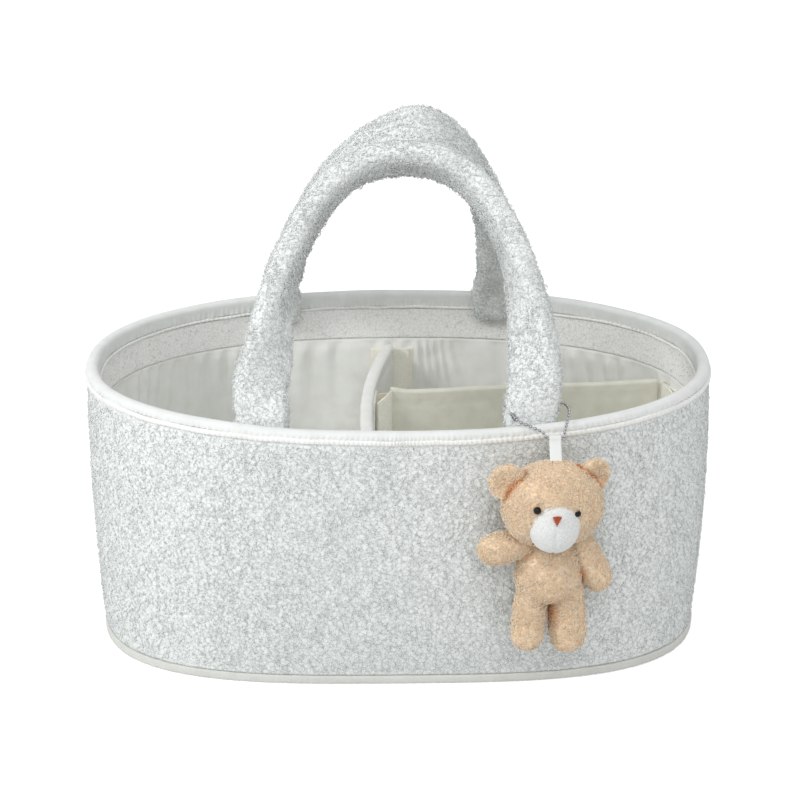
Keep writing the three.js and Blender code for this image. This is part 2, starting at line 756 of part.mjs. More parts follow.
function tubeGeometry(path, diameter, steps) {
  const curve = new THREE.CatmullRomCurve3(path, false, 'centripetal');
  const circle = new THREE.Shape();
  circle.absarc(0, 0, diameter / 2, 0, 2 * Math.PI);
  return new THREE.ExtrudeGeometry(circle, { steps, curveSegments: 4, extrudePath: curve });
}

function makeChain() {
  const left = chainLeftPath.map(fromRim);
  const right = [...chainLegPath.map(fromFold), ...chainRightPath.map(fromRim)];
  const halfLink = ribbonWidth / 2 + gap;
  const link = [-halfLink, halfLink].map((x) => pivotPlace.clone().add(vector([x, 0, 0])));
  addPiece('charm_chain_left', tubeGeometry(left, ballDiameter, left.length * chainSteps), 'steel');
  addPiece('charm_chain_right', tubeGeometry(right, ballDiameter, right.length * chainSteps), 'steel');
  addPiece('charm_chain_clasp', tubeGeometry(
    [fromRim(claspStart), fromFold(claspEnd)], claspDiameter, 1), 'steel');
  addPiece('charm_chain_link', tubeGeometry(link, ballDiameter, 1), 'steel');
}

function makeRibbon() {
  const hole = ballDiameter / 2 + gap;
  const fold = hole + ribbonCloth;
  const flat = ribbonCloth + gap / 2;
  const profile = new THREE.Shape();
  profile.absarc(0, 0, fold, -radians(ribbonWrap), Math.PI + radians(ribbonWrap), false);
  profile.lineTo(-flat, -fold - flat);
  profile.lineTo(-flat, -ribbonLength);
  profile.lineTo(flat, -ribbonLength);
  profile.lineTo(flat, -fold - flat);
  profile.closePath();
  const eye = new THREE.Path();
  eye.absarc(0, 0, hole, 0, 2 * Math.PI, true);
  profile.holes.push(eye);
  const geometry = new THREE.ExtrudeGeometry(profile, {
    depth: ribbonWidth, bevelEnabled: false, curveSegments: 5,
  });
  geometry.translate(0, 0, -ribbonWidth / 2);
  geometry.rotateY(Math.PI / 2);
  geometry.rotateX(Math.PI / 2);
  geometry.rotateX(-radians(ribbonSlope));
  geometry.translate(...pivotPlace.toArray());
  addPiece('charm_ribbon', cutAway(geometry, placeCharm(headForm(pileGap))), 'cotton');
}

// Plush bear. Its own frame: X along the wall, Y out from the wall, Z up.
function placeCharm(geometry) {
  const placed = toSolid(geometry).mirror([0, 1, 0]).rotate([0, 0, charmYaw]);
  return toGeometry(placed.translate([charmPlace.x, charmPlace.y, 0]));
}

function ellipsoid(half, centre, grow, segments = plushSegments) {
  const sphere = new THREE.SphereGeometry(1, segments, segments / 2);
  sphere.rotateX(Math.PI / 2);
  sphere.scale(half[0] + grow, half[1] + grow, half[2] + grow);
  sphere.translate(...centre);
  return sphere;
}

const fromHead = (place) => headCentre.map((value, i) => value + place[i]);

function headForm(grow) {
  return ellipsoid(headHalf, headCentre, grow);
}

function torsoForm(grow) {
  const levelShares = [
    [0, 0.45], [0.06, 0.72], [0.18, 0.95], [0.34, 1], [0.52, 0.95], [0.7, 0.84], [0.86, 0.68], [1, 0.42],
  ];
  const rows = levelShares.map(([rise, girth]) => {
    const z = THREE.MathUtils.lerp(torsoBottom - grow, torsoTop + grow, rise);
    return Array.from({ length: plushSegments }, (_, i) => {
      const angle = (2 * Math.PI * i) / plushSegments;
      return new THREE.Vector3(
        torsoMiddle + Math.cos(angle) * (torsoHalfWidth * girth + grow),
        torsoCentre + Math.sin(angle) * (torsoHalfDepth * girth + grow), z);
    });
  });
  return loftGeometry(rows);
}

// A limb swells from its sewn end towards its round tip
function limbForm(length, radius) {
  const profileShares = [
    [0, 0], [0.6, 0], [0.8, 0.12], [0.9, 0.3], [1, 0.55], [0.97, 0.75], [0.8, 0.9], [0.45, 0.98], [0, 1],
  ];
  const profile = profileShares.map(([wide, along]) => (
    new THREE.Vector2(wide * radius, along * length)));
  return new THREE.LatheGeometry(profile, limbSegments);
}

function armForm(shoulder, way, drop) {
  const arm = limbForm(armLength, armRadius);
  arm.rotateX(Math.PI / 2);
  arm.translate(0, 0, -armRadius * armSeatShare);
  arm.rotateY(way * (Math.PI / 2 + radians(drop)));
  arm.translate(...shoulder);
  return arm;
}

// What the arm turns against, at several turns of the arm about its shoulder
function turnedAboutShoulder(form, shoulder, turnRange) {
  return armTurnShares.map((share) => {
    const turned = form.clone();
    turned.translate(-shoulder[0], 0, -shoulder[2]);
    turned.rotateY(radians(THREE.MathUtils.lerp(turnRange[0], turnRange[1], share)));
    turned.translate(shoulder[0], 0, shoulder[2]);
    return turned;
  });
}

function makeArm(name, shoulder, way, drop, turnRange) {
  const against = [torsoForm(pileGap), headForm(pileGap), legForm(way, pileGap)];
  const cutters = against.flatMap((form) => turnedAboutShoulder(form, shoulder, turnRange));
  addPiece(name, placeCharm(cutAway(armForm(shoulder, way, drop), ...cutters)), 'plush');
}

function legForm(way, grow) {
  const leg = limbForm((way < 0 ? leftLegLength : rightLegLength) + grow, legRadius + grow);
  leg.rotateX(-Math.PI / 2);
  leg.rotateY(-radians(legTilt) * way);
  leg.translate(torsoMiddle + way * legSpread, torsoCentre, legTop);
  return leg;
}

function makeLeg(name, way) {
  addPiece(name, placeCharm(cutAway(legForm(way, 0), torsoForm(pileGap))), 'plush');
}

function makeEar(name, way, place) {
  const ear = ellipsoid([earRadius, earDepth / 2, earRadius], [0, 0, 0], 0);
  ear.rotateZ(-radians(earTurn) * way);
  ear.translate(...fromHead(place));
  addPiece(name, placeCharm(cutAway(ear, headForm(pileGap))), 'plush');
}

// Turns a part of the face about the middle of the head
function turnFace(geometry) {
  geometry.translate(-headCentre[0], -headCentre[1], 0);
  geometry.rotateZ(radians(faceTurn));
  geometry.translate(headCentre[0], headCentre[1], 0);
  return geometry;
}

function makeFace() {
  const muzzleCentre = fromHead(muzzlePlace);
  const muzzleForm = (grow) => turnFace(ellipsoid(muzzleHalf, muzzleCentre, grow));
  addPiece('bear_muzzle', placeCharm(cutAway(muzzleForm(0), headForm(pileGap))), 'plushWhite');
  for (const [name, way] of [['bear_eye_left', -1], ['bear_eye_right', 1]]) {
    const x = headCentre[0] + muzzlePlace[0] + way * eyeSpacing;
    const z = headCentre[2] + eyeRise;
    const flat = Math.sqrt(1 - ((x - headCentre[0]) / headHalf[0]) ** 2 - (eyeRise / headHalf[2]) ** 2);
    const half = eyeDiameter / 2;
    const centre = [x, headCentre[1] + headHalf[1] * flat + half / 2, z];
    const eye = turnFace(ellipsoid([half, half, half], centre, 0, eyeSegments));
    addPiece(name, placeCharm(cutAway(eye, headForm(pileGap), muzzleForm(pileGap))), 'bead');
  }
  const rise = noseRise / muzzleHalf[2];
  const out = muzzleCentre[1] + muzzleHalf[1] * Math.sqrt(1 - rise * rise);
  const patch = new THREE.Shape();
  patch.moveTo(-noseWidth / 2, noseHeight / 2);
  patch.lineTo(noseWidth / 2, noseHeight / 2);
  patch.lineTo(0, -noseHeight / 2);
  patch.closePath();
  const nose = new THREE.ExtrudeGeometry(patch, { depth: noseDepth, bevelEnabled: false });
  nose.rotateX(Math.PI / 2);
  nose.translate(muzzleCentre[0], out + noseDepth * noseStandShare, muzzleCentre[2] + noseRise);
  addPiece('bear_nose', placeCharm(cutAway(turnFace(nose), muzzleForm(pileGap))), 'thread');
}

function makeBear() {
  addPiece('bear_head', placeCharm(headForm(0)), 'plush');
  addPiece('bear_torso', placeCharm(cutAway(torsoForm(0), headForm(pileGap))), 'plush');
  makeArm('bear_arm_left', leftShoulder, -1, leftArmDrop, leftArmTurns);
  makeArm('bear_arm_right', rightShoulder, 1, rightArmDrop, rightArmTurns);
  makeLeg('bear_leg_left', -1);
  makeLeg('bear_leg_right', 1);
  makeEar('bear_ear_left', -1, leftEarPlace);
  makeEar('bear_ear_right', 1, rightEarPlace);
  makeFace();
}

makeWall();
makeRim();
makeBase();
makeLoopStrips();
makeCrossDivider();
makeLongDivider();
makeHandle('front_handle', frontHandle);
makeHandle('back_handle', backHandle);
makeChain();
makeRibbon();
makeBear();

export default group;
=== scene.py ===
"""Dresses a padded oval diaper caddy: boucle walls, bound rim, gathered lining, dividers, two
padded handles and a plush bear charm. Sizes are in millimetres unless a name says otherwise.
Whole numbers named salt, and those passed for it, are seeds of noise and of random draws."""
import math

import bpy
import numpy as np
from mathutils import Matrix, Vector


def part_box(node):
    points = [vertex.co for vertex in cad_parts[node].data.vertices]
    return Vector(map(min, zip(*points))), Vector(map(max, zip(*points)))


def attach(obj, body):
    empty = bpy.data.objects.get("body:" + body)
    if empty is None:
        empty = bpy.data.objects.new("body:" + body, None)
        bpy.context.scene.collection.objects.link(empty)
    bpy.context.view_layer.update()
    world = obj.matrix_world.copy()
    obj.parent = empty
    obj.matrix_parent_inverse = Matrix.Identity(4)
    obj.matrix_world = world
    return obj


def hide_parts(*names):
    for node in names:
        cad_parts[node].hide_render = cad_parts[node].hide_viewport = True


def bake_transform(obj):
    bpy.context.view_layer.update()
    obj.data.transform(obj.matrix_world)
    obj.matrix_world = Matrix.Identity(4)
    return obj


bl_info = {
    "name": "Diaper caddy",
    "version": (1, 0, 0),
    "blender": (4, 5, 0),
    "location": "3D View > Sidebar > Caddy",
    "description": "Dresses a padded oval diaper caddy with its dividers, handles and bear charm",
    "category": "Object",
}

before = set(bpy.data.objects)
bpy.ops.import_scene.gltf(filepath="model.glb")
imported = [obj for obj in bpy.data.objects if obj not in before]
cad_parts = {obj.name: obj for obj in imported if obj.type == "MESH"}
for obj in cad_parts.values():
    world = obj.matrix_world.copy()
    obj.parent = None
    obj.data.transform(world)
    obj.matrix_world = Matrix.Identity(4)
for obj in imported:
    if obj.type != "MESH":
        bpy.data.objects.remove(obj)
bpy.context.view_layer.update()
MM = 0.001


def cad_box(node):
    """A node's lowest and highest corners in millimetres."""
    low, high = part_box(node)
    return np.array(low) / MM, np.array(high) / MM


def cad_levels(node):
    """The heights of a node's lowest and highest points."""
    low, high = cad_box(node)
    return low[2], high[2]


def cad_middle(node):
    """The middle of a node's box."""
    low, high = cad_box(node)
    return (low + high) / 2


# The basket's heights, read from the frame
BINDING_BOTTOM, HEIGHT = cad_levels("rim_binding")
FLOOR_BOTTOM, FLOOR_TOP = cad_levels("floor_lining")
SHELL_BOTTOM, SHELL_TOP = cad_levels("outer_shell")
FACING_BOTTOM, FACING_TOP = cad_levels("inner_facing")
PIPING_BOTTOM, PIPING_TOP = cad_levels("base_piping")
WELT_BOTTOM, WELT_TOP = cad_levels("rim_welt_outer")
INNER_WELT_BOTTOM, INNER_WELT_TOP = cad_levels("rim_welt_inner")

# The basket's oval and its layers
WALL_HEIGHT = 165.0
TOP_LENGTH = 380.0
TOP_DEPTH = 250.0
BASE_LENGTH = 368.0
BASE_DEPTH = 232.0
TOP_ROUNDNESS = 2.2
BASE_ROUNDNESS = 3.2
PILE = 2.4
GAP = 0.3
FOAM = 2.4
LINING = 1.0
FACING = 2.0
WALL_PUFF = 2.5
LINING_INSET = PILE + GAP + FOAM + GAP
LINING_INNER = LINING_INSET + LINING
FACING_INNER = LINING_INSET + FACING
WALL_COLUMNS = 800
WALL_ROWS = 120
WALL_BANDS = 8
FACING_ROWS = 16
LINING_ROWS = 62

# Boucle: the share of a nub's height that lies on the cloth's own surface, and the lowest nub with curls
NUB_LEVEL = 0.75
BARE_NUB = 0.35
CURL_ARC = (-0.35, 3.5)
CURL_TIP = 0.3
CURL_SIDES = 3

# Rim: the binding's thickness, its rounded edge, how far its gathers reach, and the least of them
RIM_FOLD = 1.2
RIM_SHOULDER = 3.4
RIM_GATHERED = 3.2
RIM_LEAST = 0.12
WELT_DROP = 1.1
WELT_RISE = 0.25
WELT_STAND = 1.1
STITCH_PITCH = 2.9
ARC_STEPS = 11

# Dividers
DIVIDER_BOW = 20.0
LONG_JOIN = 27.0
LONG_END = 47.0
CROSS_THICKNESS = 7.6
LONG_THICKNESS = 5.0
FLAP_WIDTH = 9.0
HEM_DROP = 8.5

# Handles: a superellipse that leans, with its left leg drawn in, narrowed or stepped outwards
STRAP_WIDTH = 29.0
STRAP_THICKNESS = 13.4
STRAP_STAND = 0.5
STRAP_SPACING = 1.35
STRAP_SIDES = 66
PILE_PARTS = 3
FOLD_HEIGHT = 178.0
FOLD_INSET = 98.5
ARCH_STEPS = 160
STEP_HEIGHT = 170
# The sewn root's heights, widths and thicknesses
ROOT_LEVELS = ((149.8, 26.5, 4.6), (153.0, 28.6, 8.0), (158.0, 29.0, 10.4), (163.0, 29.0, 11.8))
HANDLES = {
    "front": {"side": -1, "half": 76.4, "rise": 143.0, "round": 2.26, "lean": 37.1, "shift": 0.4, "skew": 3.0,
              "twist_shares": (0.56, 0.66), "left_draw": 0.0, "left_squeeze": 0.0, "left_step": 6.8},
    "back": {"side": 1, "half": 73.2, "rise": 147.0, "round": 1.66, "lean": 32.8, "shift": -4.8, "skew": 16.4,
             "twist_shares": (0.27, 0.75), "left_draw": 8.0, "left_squeeze": 0.3, "left_step": 0.0},
}

# Chain and ribbon
BALL = 1.9
BALL_PITCH = 3.2
ROD_RADIUS = 0.28
RIBBON_WIDTH = 6.7
RIBBON_THICKNESS = 0.7
RIBBON_LENGTH = 14.2

# Bear, in its own frame: along the wall, out from it, and up
CHARM_YAW = math.radians(13)
FACE_TURN = math.radians(7)
HEAD_HALF = np.array([28.6, 22.0, 24.0])
HEAD_CENTRE = np.array([-2.9, 22.6, 128.4])
HEAD_ROUNDNESS = 2.15
TORSO_BOTTOM = 66.5
TORSO_TOP = 110.0
TORSO_MIDDLE = -2.5
TORSO_HALF = (18.5, 14.2)
TORSO_OUT = 17.4
# The torso's girth from its bottom to its top, as shares of its height and of its widest half
TORSO_SHARES = ((0, 0.45), (0.06, 0.74), (0.18, 0.97), (0.34, 1.02), (0.52, 0.97), (0.7, 0.86), (0.86, 0.7),
                (1, 0.45))
LEG_SPREADS = {"left": 9.2, "right": 10.4}
LEG_RADII = {"left": 8.7, "right": 9.8}
LEG_LENGTHS = {"left": 43.0, "right": 47.0}
LEG_TOP = 79.0
LEG_TILT = math.radians(4)
ARM_LENGTHS = {"left": 33.0, "right": 41.0}
ARM_RADIUS = 8.5
# Shares along a limb with the share of its radius there
ARM_SHARES = ((0, 0.62), (0.12, 0.82), (0.3, 0.92), (0.55, 1.0), (0.75, 0.98), (0.9, 0.76), (0.97, 0.45),
              (1, 0.12))
LEG_SHARES = ((0, 0.72), (0.15, 0.92), (0.35, 1.0), (0.6, 1.02), (0.8, 1.0), (0.92, 0.84), (0.98, 0.52),
              (1, 0.15))
# Each shoulder's place, its side and how far its arm hangs in degrees
SHOULDERS = {"left": (np.array([-16.0, 16.6, 103.4]), -1, 9), "right": (np.array([15.2, 16.6, 101.0]), 1, 64)}
# Where the painted shade in the arms' creases shows: the run along each arm that it ends at, and its highest
# point
ARM_SEAM_SHADE_ENDS = {-1: 14, 1: 34}
ARM_SEAM_SHADE_TOPS = {-1: 103, 1: 86}
EARS = {"left": (np.array([-26.0, -1.2, 15.6]), -1), "right": (np.array([23.4, -1.2, 13.6]), 1)}
EAR_RADIUS = 10.4
EAR_TURN = math.radians(-18)
MUZZLE_HALF = np.array([14.6, 12.4, 16.0])
MUZZLE_CENTRE = HEAD_CENTRE + np.array([-1.8, 15.2, -6.4])
NOSE_ASIDE = 2.6
NOSE_THREADS = 9
EYE_SHIFTS = {"left": (-1.6, 0.1, 0.9), "right": (-0.9, -1.1, -2.7)}
EYE_DIAMETER = 4.4
PLUSH_NUB = 2.3
PLUSH_NUB_DEPTH = 0.95
PLUSH_CURL = 0.95
PLUSH_YARN_RADIUS = 0.2
PLUSH_CURL_AREA = 1.1
# No piece of plush pile holds more curls than this
PILE_LIMIT = 6000

# Camera, fitted to the photograph's frame of 800 pixels
PHOTO_SIZE = 800
CAMERA_DISTANCE = 1400.0
CAMERA_TILT = math.radians(24)
CAMERA_TURN = math.radians(-1)
CAMERA_AIM_HEIGHT = 80.0
FOCAL_PIXELS = 2230.0
CENTRE_PIXEL = (398.2, 481.5)
SENSOR = 36.0


# Small sums
def unit(vectors):
    """Vectors brought to length 1, along their last axis."""
    return vectors / np.maximum(np.linalg.norm(vectors, axis=-1, keepdims=True), 1e-9)


def bent(values, power):
    """Values raised to a power, with their signs kept."""
    return np.sign(values) * np.abs(values) ** power


def without(vectors, ways):
    """Vectors without their part along unit ways."""
    return vectors - ways * np.einsum("ij,ij->i", vectors, ways)[:, None]


def run_along(line):
    """The length run at each point of a line."""
    return np.concatenate([[0], np.cumsum(np.linalg.norm(np.diff(line, axis=0), axis=1))])


def round_turns(sides):
    """Even turns round a circle."""
    return 2 * math.pi * np.arange(sides) / sides


def turned(x, y, angle):
    """Two coordinates, turned by an angle."""
    c, s = math.cos(angle), math.sin(angle)
    return x * c - y * s, x * s + y * c


def smooth_through(values, positions, wanted):
    """Values at wanted positions, on a smooth curve through values at positions."""
    values = np.asarray(values, float)
    slopes = np.gradient(values, positions, axis=0)
    i = np.clip(np.searchsorted(positions, wanted) - 1, 0, len(positions) - 2)
    span = positions[i + 1] - positions[i]
    t = (wanted - positions[i]) / span
    shape = (-1,) + (1,) * (values.ndim - 1)
    t, span = t.reshape(shape), span.reshape(shape)
    return ((2 * t ** 3 - 3 * t ** 2 + 1) * values[i] + (t ** 3 - 2 * t ** 2 + t) * span * slopes[i]
            + (-2 * t ** 3 + 3 * t ** 2) * values[i + 1] + (t ** 3 - t ** 2) * span * slopes[i + 1])


# Noise on points in space, so that patterns have no seam
def lattice_random(cells, salt):
    """A steady random number from 0 to 1 for each whole-numbered cell."""
    c = cells.astype(np.int64)
    n = (c[..., 0] * 73856093) ^ (c[..., 1] * 19349663) ^ (c[..., 2] * 83492791) ^ (salt * 2654435761)
    for shift, factor in ((13, 1274126177), (16, 2246822519)):
        n = (n ^ (n >> shift)) & 0xFFFFFFFF
        n = (n * factor) & 0xFFFFFFFF
    return ((n ^ (n >> 15)) & 0xFFFFFF) / float(0xFFFFFF)


def soft_noise(points, size, salt):
    """Smooth noise from -1 to 1, with features about size millimetres across."""
    p = np.asarray(points) / size
    cell = np.floor(p)
    part = p - cell
    part = part * part * (3 - 2 * part)
    total = np.zeros(len(p))
    for corner in np.ndindex(2, 2, 2):
        step = np.array(corner)
        weight = np.prod(np.where(step, part, 1 - part), axis=1)
        total += weight * lattice_random(cell + step, salt)
    return total * 2 - 1


def noise_at(size, salt, x, y=0.0, z=0.0):
    """Soft noise at the places x, y and z, each an array or one number for all."""
    return soft_noise(np.stack(np.broadcast_arrays(x, y, z), axis=-1), size, salt)


def nub_height(points, size, salt):
    """Rounded nubs of yarn, from 0 between them to 1 at their tops."""
    p = np.asarray(points) / size
    cell = np.floor(p)
    best = np.zeros(len(p))
    for offset in np.ndindex(3, 3, 3):
        near = cell + np.array(offset) - 1
        place = np.stack([lattice_random(near, salt + k) for k in (1, 2, 3)], axis=1)
        reach = 0.62 + 0.4 * lattice_random(near, salt + 4)
        away = np.linalg.norm(near + place - p, axis=1) / reach
        dome = np.sqrt(np.clip(1 - away * away, 0, 1)) * (0.55 + 0.45 * reach)
        best = np.maximum(best, dome)
    return best


# Mesh building. A form is a pair: its points, and a list of its faces' corners
MATERIALS = {}
# The slot that each finish belongs to
SLOTS = {"boucle": "boucle", "boucle_facing": "boucle", "boucle_curl": "boucle", "cotton": "cotton",
         "piping": "cotton", "divider": "cotton", "white_thread": "cotton", "lining": "lining",
         "tape": "tape", "foam": "foam", "plush": "plush", "plush_curl": "plush", "muzzle": "plush_white",
         "eye": "eye", "thread": "thread", "steel": "steel"}


def new_piece(name, form, finish, body, replaced=(), uv=None, slot=None):
    """A mesh piece from a form in millimetres, riding a body if one is named."""
    points, faces = form
    mesh = bpy.data.meshes.new(name)
    groups = [np.asarray(f, np.int64) for f in faces if len(f)]
    corners = np.concatenate([g.ravel() for g in groups])
    sizes = np.concatenate([np.full(len(g), g.shape[1]) for g in groups])
    starts = np.concatenate([[0], np.cumsum(sizes)[:-1]])
    mesh.vertices.add(len(points))
    mesh.vertices.foreach_set("co", (np.asarray(points) * MM).astype(np.float32).ravel())
    mesh.loops.add(len(corners))
    mesh.loops.foreach_set("vertex_index", corners.astype(np.int32))
    mesh.polygons.add(len(sizes))
    mesh.polygons.foreach_set("loop_start", starts.astype(np.int32))
    mesh.polygons.foreach_set("loop_total", sizes.astype(np.int32))
    mesh.update(calc_edges=True)
    mesh.polygons.foreach_set("use_smooth", np.full(len(sizes), True))
    if uv is not None:
        layer = mesh.uv_layers.new(name="OFBake")
        layer.data.foreach_set("uv", uv.astype(np.float32).ravel())
    mesh.validate()
    piece = bpy.data.objects.new(name, mesh)
    bpy.context.scene.collection.objects.link(piece)
    mesh.materials.append(MATERIALS[finish])
    if body:
        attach(piece, body)
    slot = slot or SLOTS[finish]
    if replaced:
        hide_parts(*replaced)
    return piece


def grid_faces(rows, columns, close_rows=False):
    """Quads over rows of points, closed round their columns, and from the last row to the first if asked."""
    rr, cc = np.meshgrid(np.arange(rows if close_rows else rows - 1), np.arange(columns), indexing="ij")
    nr = (rr + 1) % rows
    nc = (cc + 1) % columns
    quads = np.stack([rr * columns + cc, rr * columns + nc, nr * columns + nc, nr * columns + cc], axis=-1)
    return quads.reshape(-1, 4)


def tube_faces(rows, columns):
    """Quads round rows of points, and fans to the two tips that follow them."""
    j = np.arange(columns)
    following = (j + 1) % columns
    tip = rows * columns
    last = tip - columns
    low = np.stack([np.full(columns, tip), following, j], axis=1)
    high = np.stack([np.full(columns, tip + 1), last + j, last + following], axis=1)
    return [grid_faces(rows, columns), np.concatenate([low, high])]


def triangle_corners(points, faces):
    """The three corners of every triangle, with each quad cut in two."""
    triangles = np.concatenate(
        [f[:, [0, 1, 2]] for f in faces] + [f[:, [0, 2, 3]] for f in faces if f.shape[1] == 4])
    return [points[triangles[:, k]] for k in range(3)]


def flipped(faces):
    """Faces that look the other way."""
    return [f[:, ::-1] for f in faces]


def outward(points, faces):
    """The same faces, turned so that they point out."""
    a, b, c = triangle_corners(points, faces)
    return flipped(faces) if np.einsum("ij,ij->i", a, np.cross(b, c)).sum() < 0 else faces


def vertex_normals(points, faces):
    """Normals at points, from quads and triangles."""
    normals = np.zeros_like(points)
    for f in faces:
        a, b, c, d = (points[f[:, k]] for k in (0, 1, 2, -1))
        side = np.cross(c - a, d - b) if f.shape[1] == 4 else np.cross(b - a, c - a)
        for k in range(f.shape[1]):
            np.add.at(normals, f[:, k], side)
    return unit(normals)


def surface_area(points, faces):
    """The area of a form."""
    a, b, c = triangle_corners(points, faces)
    return np.linalg.norm(np.cross(b - a, c - a), axis=1).sum() / 2


def ring(centre, u, v, radius, sides):
    """A circle of points about a centre, in the plane of u and v."""
    turns = round_turns(sides)
    return centre + np.outer(np.cos(turns), u) * radius + np.outer(np.sin(turns), v) * radius


def ball_points(centre, half, roundness, rings, sides):
    """Rows of a rounded ball about a centre."""
    rows = []
    turns = round_turns(sides)
    for i in range(rings):
        latitude = math.pi * (i + 0.5) / rings - math.pi / 2
        way = np.stack([np.cos(latitude) * np.cos(turns), np.cos(latitude) * np.sin(turns),
                        np.full(sides, math.sin(latitude))], axis=1)
        size = (np.abs(way) ** roundness).sum(axis=1) ** (-1 / roundness)
        rows.append(centre + way * size[:, None] * half)
    return np.asarray(rows)


def lofted(rows, tips=None):
    """A closed form through loops of points, with a fan over each end to its tip or its middle."""
    rows = np.asarray(rows)
    tips = tips or [rows[0].mean(axis=0), rows[-1].mean(axis=0)]
    points = np.concatenate([rows.reshape(-1, 3), tips])
    return points, outward(points, tube_faces(*rows.shape[:2]))


def joined(forms):
    """Several forms of quads and triangles as one."""
    starts = np.cumsum([0] + [len(points) for points, _ in forms])
    faces = [np.concatenate([kinds[k] + start for (_, kinds), start in zip(forms, starts)]) for k in (0, 1)]
    return np.concatenate([points for points, _ in forms]), faces


def surface_samples(points, faces, count, salt, keep=None):
    """Points spread over a surface, with its normals there."""
    a, b, c = triangle_corners(points, faces)
    side = np.cross(b - a, c - a)
    area = np.linalg.norm(side, axis=1) / 2
    if keep is not None:
        area = area * keep((a + b + c) / 3)
    random = np.random.default_rng(salt)
    total = np.cumsum(area)
    picked = np.searchsorted(total, (np.arange(count) + random.random(count)) / count * total[-1])
    picked = np.minimum(picked, len(a) - 1)
    u, v = random.random(count), random.random(count)
    flip = u + v > 1
    u, v = np.where(flip, 1 - u, u), np.where(flip, 1 - v, v)
    place = a[picked] + (b[picked] - a[picked]) * u[:, None] + (c[picked] - a[picked]) * v[:, None]
    return place, unit(side[picked])


def yarn_curls(place, normal, radius, yarn, salt, lift=0.25, rings=5):
    """Small curls of yarn that rise from a surface and dip back into it."""
    random = np.random.default_rng(salt)
    count, sides = len(place), CURL_SIDES
    tangent = unit(without(random.normal(size=(count, 3)), normal))
    bitangent = np.cross(normal, tangent)
    tilt = random.uniform(-1.15, 1.15, count)[:, None]
    up = normal * np.cos(tilt) + bitangent * np.sin(tilt)
    across = np.cross(tangent, up)
    size = radius * random.uniform(0.65, 1.25, count)
    thick = yarn * random.uniform(0.8, 1.2, count)
    lean = random.uniform(-0.5, 0.5, count) * radius
    middle = place + normal * (lift * radius * random.uniform(-0.6, 1.0, count))[:, None]
    points = np.zeros((count, rings * sides + 2, 3))
    for i, angle in enumerate(np.linspace(*CURL_ARC, rings)):
        out = tangent * math.cos(angle) + up * math.sin(angle)
        centre = middle + out * size[:, None] + across * (lean * (i / (rings - 1) - 0.5))[:, None]
        for k, turn in enumerate(round_turns(sides)):
            edge = out * math.cos(turn) + across * math.sin(turn)
            points[:, i * sides + k] = centre + edge * thick[:, None]
    for tip, angle in ((-2, CURL_ARC[0] - CURL_TIP), (-1, CURL_ARC[1] + CURL_TIP)):
        out = tangent * math.cos(angle) + up * math.sin(angle)
        points[:, tip] = middle + out * size[:, None]
    faces = outward(points[0] - points[0].mean(axis=0), tube_faces(rings, sides))
    shift = np.arange(count)[:, None, None] * (rings * sides + 2)
    return points.reshape(-1, 3), [(f[None] + shift).reshape(-1, f.shape[1]) for f in faces]


def atlas_uv(faces, cells):
    """A bake map that gives each curl a small square of its own."""
    side = math.ceil(math.sqrt(cells))
    parts = []
    for f in faces:
        index = np.repeat(np.arange(cells), len(f) // cells)
        corner = np.array([[0.2, 0.2], [0.8, 0.2], [0.8, 0.8], [0.2, 0.8]])[: f.shape[1]]
        base = np.stack([index % side, index // side], axis=1)[:, None, :]
        parts.append(((base + corner[None]) / side).reshape(-1, 2))
    return np.concatenate(parts)


def on_nubs(samples, cloth, salt, depth=1.0):
    """Samples lifted onto a surface's nubs, without those in the gaps between nubs."""
    place, normal = samples
    height = nub_height(place, cloth.nub_size, salt)
    keep = height > BARE_NUB
    lifted = place + normal * ((height - NUB_LEVEL) * cloth.nub_depth * depth)[:, None]
    return lifted[keep], normal[keep]


def curl_piece(name, samples, radius, yarn, salt, body, finish="boucle_curl", **options):
    """A layer of pile curls as one piece."""
    place, normal = samples
    form = yarn_curls(place, normal, radius, yarn, salt, **options)
    return new_piece(name, form, finish, body, uv=atlas_uv(form[1], len(place)))


# The wall's oval
def oval(turns, length, depth, roundness):
    """Places on a rounded oval, with its outward ways there."""
    c, s = np.cos(turns), np.sin(turns)
    bend = 2 / roundness
    nx, ny = bent(c, 2 - bend) / length, bent(s, 2 - bend) / depth
    long = np.maximum(np.hypot(nx, ny), 1e-12)
    return length / 2 * bent(c, bend), depth / 2 * bent(s, bend), nx / long, ny / long


def wall_points(turns, heights, inset):
    """Points of the wall at turns, heights and insets, which broadcast together."""
    turns, heights, inset = np.broadcast_arrays(turns, heights, inset)
    share = heights / WALL_HEIGHT
    bx, by, bnx, bny = oval(turns, BASE_LENGTH, BASE_DEPTH, BASE_ROUNDNESS)
    tx, ty, tnx, tny = oval(turns, TOP_LENGTH, TOP_DEPTH, TOP_ROUNDNESS)
    nx, ny = bnx + (tnx - bnx) * share, bny + (tny - bny) * share
    long = np.hypot(nx, ny)
    x = bx + (tx - bx) * share - inset * nx / long
    y = by + (ty - by) * share - inset * ny / long
    return np.stack([x, y, heights * np.ones_like(x)], axis=-1)


FINE_TURNS = np.linspace(0, 2 * math.pi, 40001)
WALL_RUN = run_along(wall_points(FINE_TURNS, WALL_HEIGHT / 2, 0.0))
GIRTH = WALL_RUN[-1]


def even_turns(count):
    """Turns at which the wall's points lie evenly along its length."""
    return np.interp(np.arange(count) / count * GIRTH, WALL_RUN, FINE_TURNS)


TURNS = even_turns(WALL_COLUMNS)


def along_wall(columns):
    """The length run round the wall at each of its columns."""
    return np.arange(columns) / columns * GIRTH


def turn_at_x(x, side, height):
    """The turn at which the wall passes x on its front (-1) or back (1)."""
    fine = np.linspace(0, math.pi, 4001)
    line = wall_points(fine, height, 0.0)[:, 0]
    return side * float(np.interp(-x, -line, fine))


